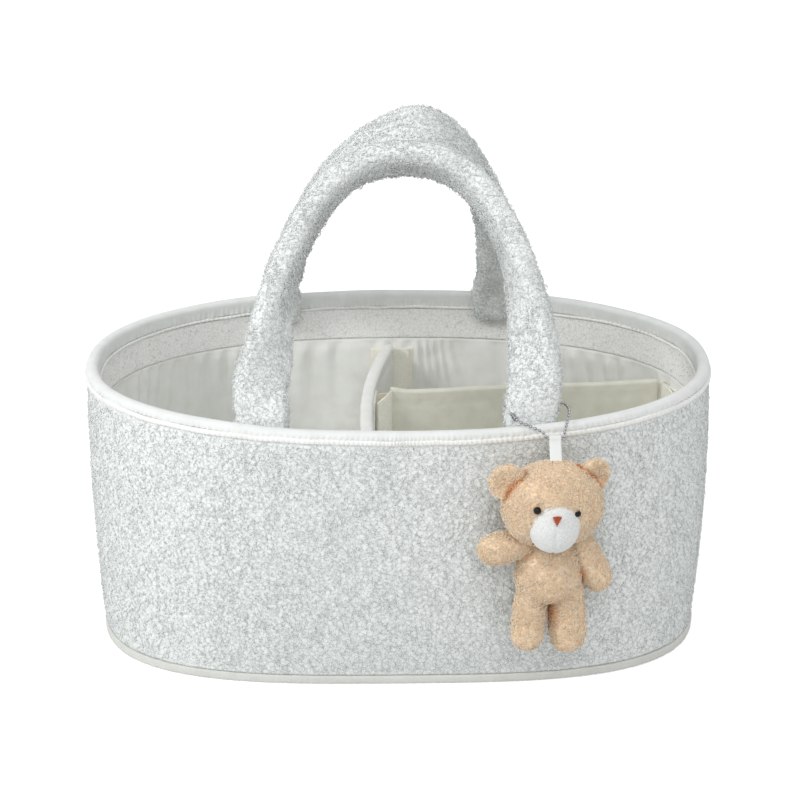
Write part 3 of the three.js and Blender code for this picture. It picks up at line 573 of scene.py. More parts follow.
def ring_points(profile, turns=TURNS):
    """Rows round the wall, one for each [inset, height] of a profile."""
    return np.stack([wall_points(turns, height, inset) for inset, height in profile])


def ring_normals(rows):
    """The wall's outward direction at each point of rows."""
    ahead = np.roll(rows, -1, axis=1) - np.roll(rows, 1, axis=1)
    return unit(np.stack([ahead[..., 1], -ahead[..., 0], np.zeros_like(ahead[..., 0])], axis=-1))


def ring_form(rows):
    """A closed ring round the wall, from rows of points in the order of its profile."""
    points = rows.reshape(-1, 3)
    return points, outward(points, [grid_faces(len(rows), rows.shape[1], close_rows=True)])


# Materials
def linear(hex_colour):
    """A linear colour from an sRGB hex value."""
    value = hex_colour.lstrip("#")
    parts = [int(value[i:i + 2], 16) / 255 for i in (0, 2, 4)]
    return [p / 12.92 if p <= 0.04045 else ((p + 0.055) / 1.055) ** 2.4 for p in parts] + [1.0]


def set_inputs(tree, node, inputs):
    """Sets or links a node's inputs by name, or by number after i_. A node stands for its first output."""
    for name, value in inputs.items():
        socket = node.inputs[int(name[2:]) if name.startswith("i_") else name.replace("_", " ")]
        if isinstance(value, bpy.types.Node):
            value = value.outputs[0]
        if isinstance(value, bpy.types.NodeSocket):
            tree.links.new(value, socket)
        else:
            socket.default_value = value


def add_node(tree, kind, settings=None, **inputs):
    """A node with its settings and links."""
    node = tree.nodes.new(f"ShaderNode{kind}")
    for name, value in (settings or {}).items():
        setattr(node, name, value)
    set_inputs(tree, node, inputs)
    return node


def new_material(name):
    """A new material, its tree and the piece's own coordinates."""
    material = bpy.data.materials.new(name)
    material.use_nodes = True
    tree = material.node_tree
    return material, tree, add_node(tree, "TexCoord").outputs["Object"]


def set_surface(tree, height=None, bump_mm=0.0, bump=0.0, **inputs):
    """Sets or links the inputs of a material's shader, and its bump if it has one."""
    if height:
        inputs["Normal"] = add_node(tree, "Bump", None, Height=height, Strength=bump, Distance=bump_mm * MM)
    set_inputs(tree, tree.nodes["Principled BSDF"], inputs)


def set_stops(ramp, *stops):
    """Sets a ramp's [position, hex value] stops."""
    for element, (position, shade) in zip(ramp.color_ramp.elements, stops):
        element.position = position
        element.color = linear(shade)


def yarn_shading(tree, place, colour, crack_mm, gap_shade, speck_mm, speck, tint):
    """A colour darkened by painted shade in thin gaps between tufts, and lighter or darker from fibre to
    fibre.
    """
    bend = add_node(tree, "TexNoise", None, Vector=place, Scale=1 / (crack_mm * 0.7 * MM), Detail=2.0)
    centred = add_node(tree, "VectorMath", {"operation": "SUBTRACT"}, i_0=bend.outputs["Color"],
                       i_1=(0.5, 0.5, 0.5))
    moved = add_node(tree, "VectorMath", {"operation": "MULTIPLY_ADD"}, i_0=centred,
                     i_1=(crack_mm * 0.8 * MM,) * 3, i_2=place)
    edges = add_node(tree, "TexVoronoi", {"feature": "DISTANCE_TO_EDGE"}, Vector=moved,
                     Scale=1 / (crack_mm * MM))
    # Painted shade in the thin gaps between tufts
    gaps = add_node(tree, "MapRange", {"interpolation_type": "SMOOTHSTEP"}, Value=edges.outputs["Distance"],
                    From_Max=0.1, To_Min=1 - gap_shade, To_Max=1.0)
    fibres = add_node(tree, "TexNoise", None, Vector=place, Scale=1 / (speck_mm * MM), Detail=1.0)
    fleck = add_node(tree, "MapRange", None, Value=fibres.outputs["Fac"], From_Min=0.3, From_Max=0.7,
                     To_Min=1 - speck, To_Max=1.0)
    both = add_node(tree, "Math", {"operation": "MULTIPLY"}, i_0=gaps, i_1=fleck)
    deep = add_node(tree, "VectorMath", {"operation": "MULTIPLY"}, i_0=colour, i_1=tint)
    mixed = add_node(tree, "Mix", {"data_type": "RGBA"}, i_0=both, i_6=deep, i_7=colour)
    return mixed.outputs[2]


def cloth_material(name, dark, light, pattern_mm, sheen=0.3, bump_mm=0.3, fine_mm=0.5, painted_seam_shade=None,
                   blotch=0.1, yarn=None):
    """Cloth whose colour varies between two shades over small tufts or threads, the darker as painted shade
    between them, with painted seam shade if one is given, and a bump.
    """
    material, tree, place = new_material(name)
    tufts = add_node(tree, "TexVoronoi", {"feature": "SMOOTH_F1"}, Vector=place, Scale=1 / (pattern_mm * MM),
                     Smoothness=0.6)
    fibres = add_node(tree, "TexNoise", None, Vector=place, Scale=1 / (fine_mm * MM), Detail=3.0)
    broad = add_node(tree, "TexNoise", None, Vector=place, Scale=1 / (pattern_mm * 12 * MM), Detail=2.0)
    domes = add_node(tree, "Math", {"operation": "MULTIPLY_ADD"}, i_0=tufts.outputs["Distance"], i_1=-0.9,
                     i_2=1.0)
    shade = add_node(tree, "Math", {"operation": "MULTIPLY_ADD"}, i_0=broad.outputs["Fac"], i_1=blotch,
                     i_2=domes)
    # Painted shade between the tufts, lighter on their tops, with random blotches
    ramp = add_node(tree, "ValToRGB", None, Fac=shade)
    set_stops(ramp, (0.25, dark), (0.85, light))
    colour = ramp.outputs["Color"]
    if yarn:
        colour = yarn_shading(tree, place, colour, *yarn)
    # Painted shade in the seams, read from each point's painted seam shade
    if painted_seam_shade:
        fold = add_node(tree, "Attribute", {"attribute_name": "painted_seam_shade"})
        colour = add_node(tree, "Mix", {"data_type": "RGBA"}, i_0=fold.outputs["Fac"], i_6=colour,
                          i_7=linear(painted_seam_shade)).outputs[2]
    height = add_node(tree, "Math", {"operation": "MULTIPLY_ADD"}, i_0=fibres.outputs["Fac"], i_1=0.5,
                      i_2=domes)
    set_surface(tree, height, bump_mm, 0.6, Base_Color=colour, Roughness=0.9, Sheen_Weight=sheen,
                Sheen_Roughness=0.5, Specular_IOR_Level=0.2)
    return material


def woven_material(name, dark, light, thread_mm=0.45, wrinkle=0.5, sheen=0.15):
    """Plain-woven cloth: crossing threads, drawn coarse enough to show, and soft painted shade that follows
    its wrinkles and threads.
    """
    material, tree, place = new_material(name)
    turn = add_node(tree, "Mapping", None, Vector=place, Rotation=(0.3, 0.2, 0.1))
    waves = [add_node(tree, "TexWave", {"wave_type": "BANDS", "bands_direction": direction}, Vector=place,
                      Scale=1 / (thread_mm * MM * 6.4), Distortion=0.6).outputs["Fac"]
             for direction in ("X", "Z")]
    weave = add_node(tree, "Math", {"operation": "MULTIPLY"}, i_0=waves[0], i_1=waves[1])
    broad = add_node(tree, "TexNoise", None, Vector=turn, Scale=1 / (9 * MM), Detail=3.0).outputs["Fac"]
    shade = add_node(tree, "Math", {"operation": "MULTIPLY_ADD"}, i_0=weave, i_1=0.25, i_2=broad)
    ramp = add_node(tree, "ValToRGB", None, Fac=shade)
    set_stops(ramp, (0.3, dark), (0.75, light))
    height = add_node(tree, "Math", {"operation": "MULTIPLY_ADD"}, i_0=broad, i_1=wrinkle, i_2=weave)
    set_surface(tree, height, 0.1, 0.5, Base_Color=ramp, Roughness=0.8, Sheen_Weight=sheen,
                Specular_IOR_Level=0.3)
    return material


def hard_material(name, colour, roughness, metallic=0.0, **inputs):
    """A hard finish with a faint grain in its roughness."""
    material, tree, place = new_material(name)
    speck = add_node(tree, "TexNoise", None, Vector=place, Scale=1 / (0.8 * MM), Detail=2.0)
    rough = add_node(tree, "MapRange", None, Value=speck.outputs["Fac"], To_Min=max(roughness - 0.05, 0.02),
                     To_Max=roughness + 0.05)
    set_surface(tree, Base_Color=linear(colour), Metallic=metallic, Roughness=rough, **inputs)
    return material


# Painted shade in the gaps between tufts, and flecks of yarn: their sizes in millimetres, each with how much
# of the tint it takes, and last that tint
BOUCLE_YARN = (2.9, 1.0, 0.9, 0.12, (0.68, 0.69, 0.68))
FACING_YARN = (2.4, 0.7, 0.9, 0.12, (0.73, 0.73, 0.71))
PLUSH_YARN = (1.9, 0.8, 0.9, 0.45, (0.9, 0.72, 0.5))
VELOUR_YARN = (1.3, 0.8, 0.6, 0.7, (0.78, 0.79, 0.79))


def make_cloth_materials(colours):
    """The caddy's own cloths."""
    # Boucle is knitted from looped yarn: matte, with bright nubs and painted grey shade in its hollows
    boucle = {"sheen": 0.25, "blotch": 0.0}
    MATERIALS["boucle"] = cloth_material(
        "looped_boucle", colours.boucle_hollow_shade, colours.boucle_light, 3.0, bump_mm=0.5, yarn=BOUCLE_YARN,
        **boucle)
    # Inside the rim the same cloth lies flatter, so lighter painted shade is put in its hollows
    MATERIALS["boucle_facing"] = cloth_material(
        "flat_boucle_facing", "#fbfbf8", "#ffffff", 1.5, bump_mm=0.2, yarn=FACING_YARN, **boucle)
    # The boucle's loose yarn, curl by curl
    MATERIALS["boucle_curl"] = cloth_material(
        "boucle_yarn", colours.boucle_yarn_shade, colours.boucle_light, 1.5, bump_mm=0.15, fine_mm=0.4,
        yarn=BOUCLE_YARN, **boucle)
    # The binding and the ribbon are smooth woven cotton, folded and pressed
    MATERIALS["cotton"] = woven_material("pressed_cotton_binding", colours.cotton_shade, colours.cotton)
    # The lining is a thin off-white cotton, softly creased
    MATERIALS["lining"] = woven_material("cotton_lining", colours.lining_shade, colours.lining, wrinkle=1,
                                         sheen=0.1)
    # The loop side of hook-and-loop tape is fuzzy nylon, slightly yellow
    MATERIALS["tape"] = cloth_material("loop_tape", "#eeecdc", "#fbf9ef", 1.0, bump_mm=0.25)
    # The padding is open-cell polyurethane foam
    MATERIALS["foam"] = cloth_material("open_cell_foam", "#e2dfd4", "#f4f2ea", 1.2)
    # The piping at the foot is the binding's cotton, painted greyer as the shade where it faces down to the
    # floor
    MATERIALS["piping"] = woven_material("base_piping_cotton_in_shade", "#d3d4ce", "#dcddd8")
    # The long divider is covered in cotton, painted darker and a little more olive than the lining as the
    # shade that falls on it
    MATERIALS["divider"] = woven_material("divider_cotton_in_shade", "#d7d6c6", "#e3e2d5", wrinkle=1, sheen=0.1)
    # The welts are rows of thick white cotton thread
    MATERIALS["white_thread"] = woven_material("white_stitching", "#ecece8", "#f8f8f5", 0.7)


def make_charm_materials(colours):
    """The bear's plush and face, and the hard materials."""
    # Short polyester plush, apricot at its tips, with orange painted shade deep in the seams
    plush = {"sheen": 0.6, "painted_seam_shade": colours.plush_seam_shade, "yarn": PLUSH_YARN}
    MATERIALS["plush"] = cloth_material(
        "apricot_plush", colours.plush_shade, colours.plush, 1.7, bump_mm=0.5, **plush)
    MATERIALS["plush_curl"] = cloth_material(
        "apricot_plush_pile", colours.plush_shade, colours.plush_tip, 2.2, bump_mm=0.1, fine_mm=0.3, **plush)
    # The muzzle's velour shows its knit as fine grey specks, with painted shade in the gaps between its tufts
    MATERIALS["muzzle"] = cloth_material("white_velour", "#e6e7e5", "#f4f5f3", 1.2, bump_mm=0.15, blotch=0.0,
                                         yarn=VELOUR_YARN)
    # The nose is embroidered in brown cotton
    MATERIALS["thread"] = cloth_material("brown_stitching", "#8f3a1a", "#c0603a", 0.5, bump_mm=0.1,
                                         fine_mm=0.2)
    # Stiff pressed board, polished nickel plating and glossy plastic beads
    MATERIALS["board"] = hard_material("grey_stiff_board", "#cfc7b4", 0.85)
    MATERIALS["steel"] = hard_material("nickel_plated_balls", "#a3a5a8", 0.18, 1.0)
    MATERIALS["eye"] = hard_material("glossy_black_bead", "#0b0806", 0.09, Specular_IOR_Level=0.22)


# Property groups
def number(name, description, default, low=0.0, high=200.0, **options):
    """A number that can be set, with its limits."""
    return bpy.props.FloatProperty(name=name, description=description, default=default, min=low, max=high,
                                   **options)


def swatch(name, description, default):
    """A colour that can be set, as an sRGB hex value."""
    return bpy.props.StringProperty(name=name, description=description, default=default)


class CaddyCloth(bpy.types.PropertyGroup):
    """Sizes of the cloth's texture"""
    nub_size: number("Nub size", "Width of a boucle nub in millimetres", 2.3, 1.0, 8.0)
    nub_depth: number("Nub depth", "How far a nub stands up in millimetres", 0.55, 0.1, 3.0)
    curl_radius: number("Curl radius", "Radius of a yarn curl in millimetres", 0.68, 0.3, 3.0)
    yarn_radius: number("Yarn radius", "Radius of the boucle yarn in millimetres", 0.27, 0.1, 1.0)
    curl_area: number("Curl area", "Square millimetres of wall for each curl", 3.4, 2.0, 50.0)
    loop_radius: number("Loop radius", "Radius of the loose loops in millimetres", 1.5, 0.3, 4.0)
    loop_area: number("Loop area", "Square millimetres of cloth for each loose loop", 27.0, 5.0, 200.0)
    gather_pitch: number("Gather pitch", "Millimetres between the binding's gathers", 3.4, 2.0, 20.0)
    gather_depth: number("Gather depth", "Depth of the binding's gathers in millimetres", 0.62, 0.0, 2.0)
    wrinkle_depth: number("Wrinkle depth", "Depth of the lining's folds in millimetres", 3.0, 0.0, 4.0)


class CaddyColours(bpy.types.PropertyGroup):
    """Colours of the caddy, as sRGB hex values"""
    boucle_light: swatch("Boucle", "Colour of the boucle's nubs", "#f6f9f8")
    # The hollows' colour and the yarn's darker shade are painted shade between the nubs and curls
    boucle_hollow_shade: swatch("Boucle hollows", "Colour between the nubs", "#ebeeed")
    boucle_yarn_shade: swatch("Boucle yarn shade", "Darker shade of the yarn", "#eef1f0")
    # The binding's and lining's darker shades are painted shade in their wrinkles and between their threads
    cotton: swatch("Binding", "Colour of the binding and ribbon", "#ebeeec")
    cotton_shade: swatch("Binding shade", "Darker shade of the binding", "#e2e4e1")
    lining: swatch("Lining", "Colour of the lining", "#f3f4f1")
    lining_shade: swatch("Lining shade", "Darker shade of the lining", "#ebece6")
    plush: swatch("Plush", "Colour of the bear's plush", "#fff0d8")
    plush_tip: swatch("Plush tips", "Colour of the pile's tips", "#fff7e8")
    # Painted shade deep between the plush's tufts
    plush_shade: swatch("Plush shade", "Colour deep in the pile", "#fee6c6")
    # Painted shade, orange, in the bear's seams where its parts meet
    plush_seam_shade: swatch("Plush creases", "Colour in the bear's seams", "#e2923c")


class CaddyStage(bpy.types.PropertyGroup):
    """Light and floor"""
    key_power: number("Key light", "Power of the key light in watts", 7.9)
    fill_power: number("Fill light", "Power of the fill light in watts", 6.0)
    sky: number("Sky", "Strength of the soft light from all round", 0.66)
    floor_size: number("Floor size", "Side of the floor in metres", 12.0, 1.0, unit="LENGTH")


# Walls
def boucle_shape(points, normals, cloth, salt, depth=1.0):
    """Points of a boucle surface, pushed out by its nubs."""
    nubs = nub_height(points, cloth.nub_size, salt)
    coarse = soft_noise(points, cloth.nub_size * 4, salt + 9)
    push = (nubs - NUB_LEVEL) * cloth.nub_depth * depth + coarse * 0.2 * depth
    return points + normals * push[:, None]


def make_outer_shell(cloth):
    """The boucle wall, bellied out and sagging unevenly, with its pile."""
    low, high = SHELL_BOTTOM, SHELL_TOP
    heights = np.linspace(low, high, WALL_ROWS)
    share = (heights - low) / (high - low)
    puff = 4 * WALL_PUFF * share * (1 - share)
    outer = [(0.5 - p, h) for p, h in zip(puff, heights)]
    rows = ring_points(outer + [(PILE, high), (PILE, (low + high) / 2), (PILE, low)])
    front = rows[:WALL_ROWS].reshape(-1, 3)
    normals = ring_normals(rows[:WALL_ROWS]).reshape(-1, 3)
    sag = soft_noise(front, 60, 5)[:, None] * normals * 0.9
    edge = np.minimum(1, np.minimum(share, 1 - share) * 12)
    strength = np.repeat(edge, WALL_COLUMNS)[:, None]
    skin = front + sag * strength
    shaped = boucle_shape(front, normals, cloth, 11)
    rows[:WALL_ROWS] = (shaped + sag * strength).reshape(WALL_ROWS, -1, 3)
    new_piece("outer_shell_cloth", ring_form(rows), "boucle", "basket", ["outer_shell"])
    faces = outward(skin, [grid_faces(WALL_ROWS, WALL_COLUMNS)])
    wall_pile(skin, faces, cloth)
    wall_loops(skin, faces, cloth)


def in_band(middle, band):
    """Which of the wall's places lie in a band and clear of its edges."""
    turn = (np.arctan2(middle[:, 1], middle[:, 0]) + math.pi) / (2 * math.pi) * WALL_BANDS
    rise = (middle[:, 2] - SHELL_BOTTOM) / (SHELL_TOP - SHELL_BOTTOM)
    return ((turn >= band) & (turn < band + 1) & (rise > 0.012) & (rise < 0.985)).astype(float)


def wall_pile(skin, faces, cloth):
    """The wall's curls, in bands so that no piece grows too large."""
    count = int(GIRTH * (SHELL_TOP - SHELL_BOTTOM) / WALL_BANDS / cloth.curl_area)
    for band in range(WALL_BANDS):
        samples = surface_samples(skin, faces, count, 40 + band, lambda middle: in_band(middle, band))
        curl_piece(f"outer_shell_pile_{band + 1}", on_nubs(samples, cloth, 11), cloth.curl_radius,
                   cloth.yarn_radius, 60 + band, "basket")


def between(middle, low, high):
    """Which places lie between two heights."""
    return ((middle[:, 2] > low) & (middle[:, 2] < high)).astype(float)


def wall_loops(skin, faces, cloth):
    """Looser loops that stand out of the wall here and there."""
    count = int(GIRTH * (SHELL_TOP - SHELL_BOTTOM) / cloth.loop_area * 0.8)
    samples = surface_samples(skin, faces, count, 55,
                              lambda middle: between(middle, SHELL_BOTTOM + 2, SHELL_TOP - 3))
    curl_piece("outer_shell_loops", samples, cloth.loop_radius * 0.8, cloth.yarn_radius * 0.85, 56, "basket",
               lift=0.1, rings=7)


def make_inner_facing(cloth):
    """The flatter boucle inside the rim, with a thin pile on its back and front halves."""
    low, high = FACING_BOTTOM, FACING_TOP
    depth, cover, curl_share = 0.2, 0.6, 0.15
    inner = [(FACING_INNER - cover, h) for h in np.linspace(low, high, FACING_ROWS)]
    rows = ring_points(inner + [(LINING_INSET, high), (LINING_INSET, low)])
    normals = -ring_normals(rows[:FACING_ROWS]).reshape(-1, 3)
    skin = rows[:FACING_ROWS].reshape(-1, 3).copy()
    rows[:FACING_ROWS] = boucle_shape(skin, normals, cloth, 21, depth).reshape(FACING_ROWS, -1, 3)
    new_piece("inner_facing_cloth", ring_form(rows), "boucle_facing", "basket", ["inner_facing"])
    faces = flipped(outward(skin, [grid_faces(FACING_ROWS, WALL_COLUMNS)]))
    count = int(GIRTH * (high - low) / 2 / cloth.curl_area * curl_share)
    for half, way in (("back", 1), ("front", -1)):
        samples = surface_samples(
            skin, faces, count, 90 + way, lambda p: (p[:, 1] * way > 0) * between(p, low + 1, high - 1))
        curl_piece(f"inner_facing_pile_{half}", on_nubs(samples, cloth, 21, depth), cloth.curl_radius,
                   cloth.yarn_radius, 95 + way, "basket", "boucle_facing", lift=0.0)


# Rim and base trim
def gathers(rows, along, cloth, salt, strength):
    """Moves rows in and out by the fine gathers of folded cloth."""
    wander = noise_at(22, salt, along) * 2.2
    wave = np.sin(2 * math.pi * along / cloth.gather_pitch + wander)
    second = noise_at(cloth.gather_pitch * 0.6, salt + 1, along, 3.0)
    amount = (0.6 * wave + 0.7 * second) * cloth.gather_depth
    return rows + ring_normals(rows) * amount[None, :, None] * np.asarray(strength)[:, None, None]


def rim_profile():
    """The binding's outer face with its arc, its inner face and its hollow underside."""
    inside, shoulder = FACING_INNER, HEIGHT - RIM_SHOULDER
    middle = inside / 2
    arc = [(middle - middle * math.cos(a), shoulder + RIM_SHOULDER * math.sin(a) ** 0.8)
           for a in np.linspace(0, math.pi, 15)]
    outer = [(0.0, h) for h in np.linspace(WELT_TOP + GAP, shoulder, 5)[:-1]]
    inner = [(inside, h) for h in np.linspace(shoulder, BINDING_BOTTOM, 8)[1:]]
    under = HEIGHT - RIM_FOLD - 0.1
    hollow = [(inside - RIM_FOLD, BINDING_BOTTOM), (inside - RIM_FOLD, shoulder), (PILE + GAP + FOAM, under),
              (PILE + GAP, under), (RIM_FOLD, shoulder), (RIM_FOLD, WELT_TOP + GAP)]
    return outer + arc[:8], arc[8:] + inner, hollow


def make_rim(cloth):
    """The folded binding over the rim, gathered where it is stitched down, and its two welts."""
    turns = even_turns(1400)
    along = along_wall(len(turns))
    outer, inner, hollow = rim_profile()
    strength = [max(RIM_LEAST, 1 - (h - WELT_TOP - GAP) / RIM_GATHERED) for _, h in outer]
    strength += [max(RIM_LEAST, 1 - (h - BINDING_BOTTOM) / (RIM_GATHERED * 1.6)) for _, h in inner]
    strength += [0.0] * len(hollow)
    rows = gathers(ring_points(outer + inner + hollow, turns), along, cloth, 31, strength)
    rows[: -len(hollow), :, 2] += noise_at(46, 33, along, 0.0, 7.0)[None, :] * 0.55
    new_piece("rim_binding_cloth", ring_form(rows), "cotton", "basket", ["rim_binding"])
    make_welt("outer", -0.2, 1, PILE, (WELT_BOTTOM - WELT_DROP, WELT_TOP + WELT_RISE), along, turns)
    make_welt("inner", FACING_INNER - 0.2, -1, LINING_INSET, (INNER_WELT_BOTTOM, INNER_WELT_TOP + WELT_RISE),
              along, turns)


def make_welt(name, inset, way, back, levels, along, turns):
    """The rounded stitched ridge under the binding, pulled in at every stitch."""
    low, high = levels
    middle, half = (low + high) / 2, (high - low) / 2
    profile = [(inset - way * WELT_STAND * math.cos(a) ** 0.7, middle + half * math.sin(a))
               for a in np.linspace(-math.pi / 2, math.pi / 2, ARC_STEPS)]
    rows = ring_points(profile + [(back, high), (back, low)], turns)
    stitch = -np.abs(np.cos(math.pi * along / STITCH_PITCH)) ** 8 * 0.6
    wobble = noise_at(7, 71, along) * 0.22
    rows[:ARC_STEPS] += ring_normals(rows)[:ARC_STEPS] * (way * (stitch + wobble))[None, :, None]
    rows[:ARC_STEPS, :, 2] += noise_at(13, 72, along)[None, :] * 0.35
    new_piece(f"rim_welt_{name}_cloth", ring_form(rows), "white_thread", "basket", [f"rim_welt_{name}"])


def make_base_piping(cloth):
    """The flat piping round the foot, with faint gathers."""
    low, high = PIPING_BOTTOM, PIPING_TOP
    turns = even_turns(900)
    middle, half = (low + high) / 2, (high - low) / 2
    angles = np.linspace(-math.pi / 2, math.pi / 2, ARC_STEPS)
    profile = [(-0.95 * math.cos(a) ** 0.5 + 0.05, middle + half * bent(math.sin(a), 0.8)) for a in angles]
    strength = [0.5 * (0.2 + abs(math.sin(a))) for a in angles] + [0, 0]
    rows = ring_points(profile + [(PILE, high), (PILE, low)], turns)
    rows = gathers(rows, along_wall(len(turns)), cloth, 51, strength)
    # Its finish is the binding's cotton, painted greyer as shade
    new_piece("base_piping_cloth", ring_form(rows), "piping", "basket", ["base_piping"])


# Lining
def lining_folds(points, along, rise, cloth):
    """How far the lining stands in from the wall: gathers under the seam that fade downwards,
    and slack folds that hang between them."""
    fan = along / 13.0 + noise_at(30, 81, along, rise * 30) * 1.4
    top = np.exp(-((1 - rise) / 0.28) ** 1.3)
    pleats = np.sin(2 * math.pi * fan) * top * 0.55
    slack = noise_at(26, 82, along, rise * 46)
    cross = noise_at(17, 83, along * 0.45 + rise * 60, rise * 120 - along * 0.3)
    fine = soft_noise(points, 6.5, 84) * 0.1
    return cloth.wrinkle_depth * (0.95 * pleats + 0.4 * slack + 0.24 * cross + fine)


def make_lining(cloth):
    """The lining, held flat at its seams and slack between them."""
    low, high = FLOOR_TOP + GAP, FACING_BOTTOM - GAP
    heights = np.linspace(low, high, LINING_ROWS)
    turns = even_turns(640)
    along = np.tile(along_wall(len(turns)), LINING_ROWS)
    rise = np.repeat((heights - low) / (high - low), len(turns))
    rows = ring_points([(LINING_INNER, h) for h in heights], turns)
    normals = -ring_normals(rows).reshape(-1, 3)
    points = rows.reshape(-1, 3)
    edge = np.clip(np.minimum(rise * 14, (1 - rise) * 22), 0, 1)
    depth = np.clip(lining_folds(points, along, rise, cloth) * edge + 0.5 * edge, -0.6, 3.4)
    hem = np.exp(-((1 - rise) * (high - low) / 1.6) ** 4) * 0.5
    inner = (points + normals * (depth + hem)[:, None]).reshape(LINING_ROWS, -1, 3)
    back = ring_points([(LINING_INSET, high), (LINING_INSET, low)], turns)
    new_piece("lining_cloth", ring_form(np.concatenate([inner, back])), "lining", "basket", ["lining"])


def make_floor():
    """The floor lining: a soft sheet over the board, slightly crowned with shallow wrinkles."""
    turns = even_turns(260)
    inset = LINING_INSET + 0.2
    rim = wall_points(turns, FLOOR_TOP, inset)
    rows = [wall_points(turns, FLOOR_BOTTOM, inset)]
    for share in np.linspace(1, 0.02, 60):
        loop = rim * [share, share, 1]
        wave = soft_noise(loop, 34, 91) * 0.7 + soft_noise(loop, 11, 92) * 0.18
        loop[:, 2] = FLOOR_TOP - 0.35 + (wave + 0.6) * 0.55 * min(1, (1 - share) * 9)
        rows.append(loop)
    new_piece("floor_lining_cloth", lofted(rows), "lining", "basket", ["floor_lining"])


# Dividers
def line_across(line):
    """The ways square to a line in plan, to its right."""
    way = unit(np.gradient(line, axis=0))
    return np.stack([way[:, 1], -way[:, 0]], axis=1)


def panel_levels(low, high, thickness, ends):
    """Heights up a panel with its half thickness there: a stitched hem below a rounded top edge."""
    heights = np.concatenate([np.linspace(low, high - 6, 44), high - 6 + np.array([1.2, 2.4, 3.4, 4.2])])
    slim = 0.55 + 0.45 * ends
    levels = []
    for h in heights:
        hem = 0.22 * math.exp(-((high - HEM_DROP - h) / 0.9) ** 2)
        levels.append((h, thickness / 2 * (1 - hem) * slim))
    for a in np.linspace(0.25, math.pi / 2, 5)[:-1]:
        levels.append((high - 1.8 + 1.8 * math.sin(a), thickness / 2 * math.cos(a) * slim))
    return levels


def panel_loop(line, ends, height, half, high, salt, corner):
    """A panel's outline at a height: padded, swaying a little, puckered at the hem, uneven at the top."""
    along = run_along(line)
    across = line_across(line)
    puff = noise_at(30, salt, along, height) * 0.55
    puff += noise_at(9, salt + 1, along * 1.6, height * 0.5, 9.0) * 0.2
    sway = noise_at(60, salt + 2, along, height, 40.0) * 0.9
    pucker = np.sin(2 * math.pi * along / 7.0) * 0.16 * math.exp(-((height - high + HEM_DROP) / 3.0) ** 2)
    drop = noise_at(45, salt + 3, along) * 0.5 + corner * np.exp(-(along / 7.0) ** 2)
    top = height + drop * max(0, height - high + 30) / 30
    shift = (sway * ends)[:, None] * across
    sides = []
    for way in (1, -1):
        out = half + np.maximum(way * puff, -0.4) * 0.6 * ends + pucker
        sides.append(np.column_stack([line + (shift + across * (way * out)[:, None]), top]))
    return np.concatenate([sides[0], sides[1][::-1]])


def panel_piece(name, line, low, high, finish, body, replaced, salt, thickness, corner=0.0):
    """A soft panel along a line in plan, closed by ladders of quads at its bottom and top."""
    along = run_along(line)
    ends = np.clip(np.minimum(along, along[-1] - along) / 3.0, 0, 1) ** 0.5
    rows = np.asarray([panel_loop(line, ends, height, half, high, salt, corner)
                       for height, half in panel_levels(low, high, thickness, ends)])
    points = rows.reshape(-1, 3)
    columns = rows.shape[1]
    rung = np.arange(columns // 2 - 1)
    low_cap = np.stack([rung, columns - 1 - rung, columns - 2 - rung, rung + 1], axis=1)
    high_cap = np.roll(low_cap[:, ::-1], 1, axis=1) + (len(rows) - 1) * columns
    faces = outward(points, [np.concatenate([grid_faces(len(rows), columns), low_cap, high_cap])])
    new_piece(name, (points, faces), finish, body, replaced, slot="cotton")


def make_dividers():
    """The bowed cross divider, the straight long divider and the flap between them."""
    cover_low, cover_high = cad_box("cross_divider_cover")
    low, high = cover_low[2], cover_high[2]
    y = np.linspace(cover_low[1] + 0.4, cover_high[1] - 0.4, 150)
    bow = -DIVIDER_BOW * (1 - (y / (TOP_DEPTH / 2)) ** 2)
    panel_piece("cross_divider_cloth", np.column_stack([bow, y]), low, high, "lining", "cross_divider",
                ["cross_divider_cover"], 101, CROSS_THICKNESS)
    long_low, long_high = cad_box("long_divider_cover")
    x = np.linspace(long_low[0] + FLAP_WIDTH, long_high[0] - 0.6, 130)
    share = (x - long_low[0]) / (x[-1] - long_low[0])
    line = np.column_stack([x, LONG_JOIN + (LONG_END - LONG_JOIN) * share])
    # Its finish carries painted shade, darker and more olive than the lining
    panel_piece("long_divider_cloth", line, low, high, "divider", "long_divider", ["long_divider_cover"], 121,
                LONG_THICKNESS, corner=2.2)
    make_join_flap(np.array([long_low[0] + 0.8, LONG_JOIN - 10.5]), line[0] + [0.6, -1.0], low, high)


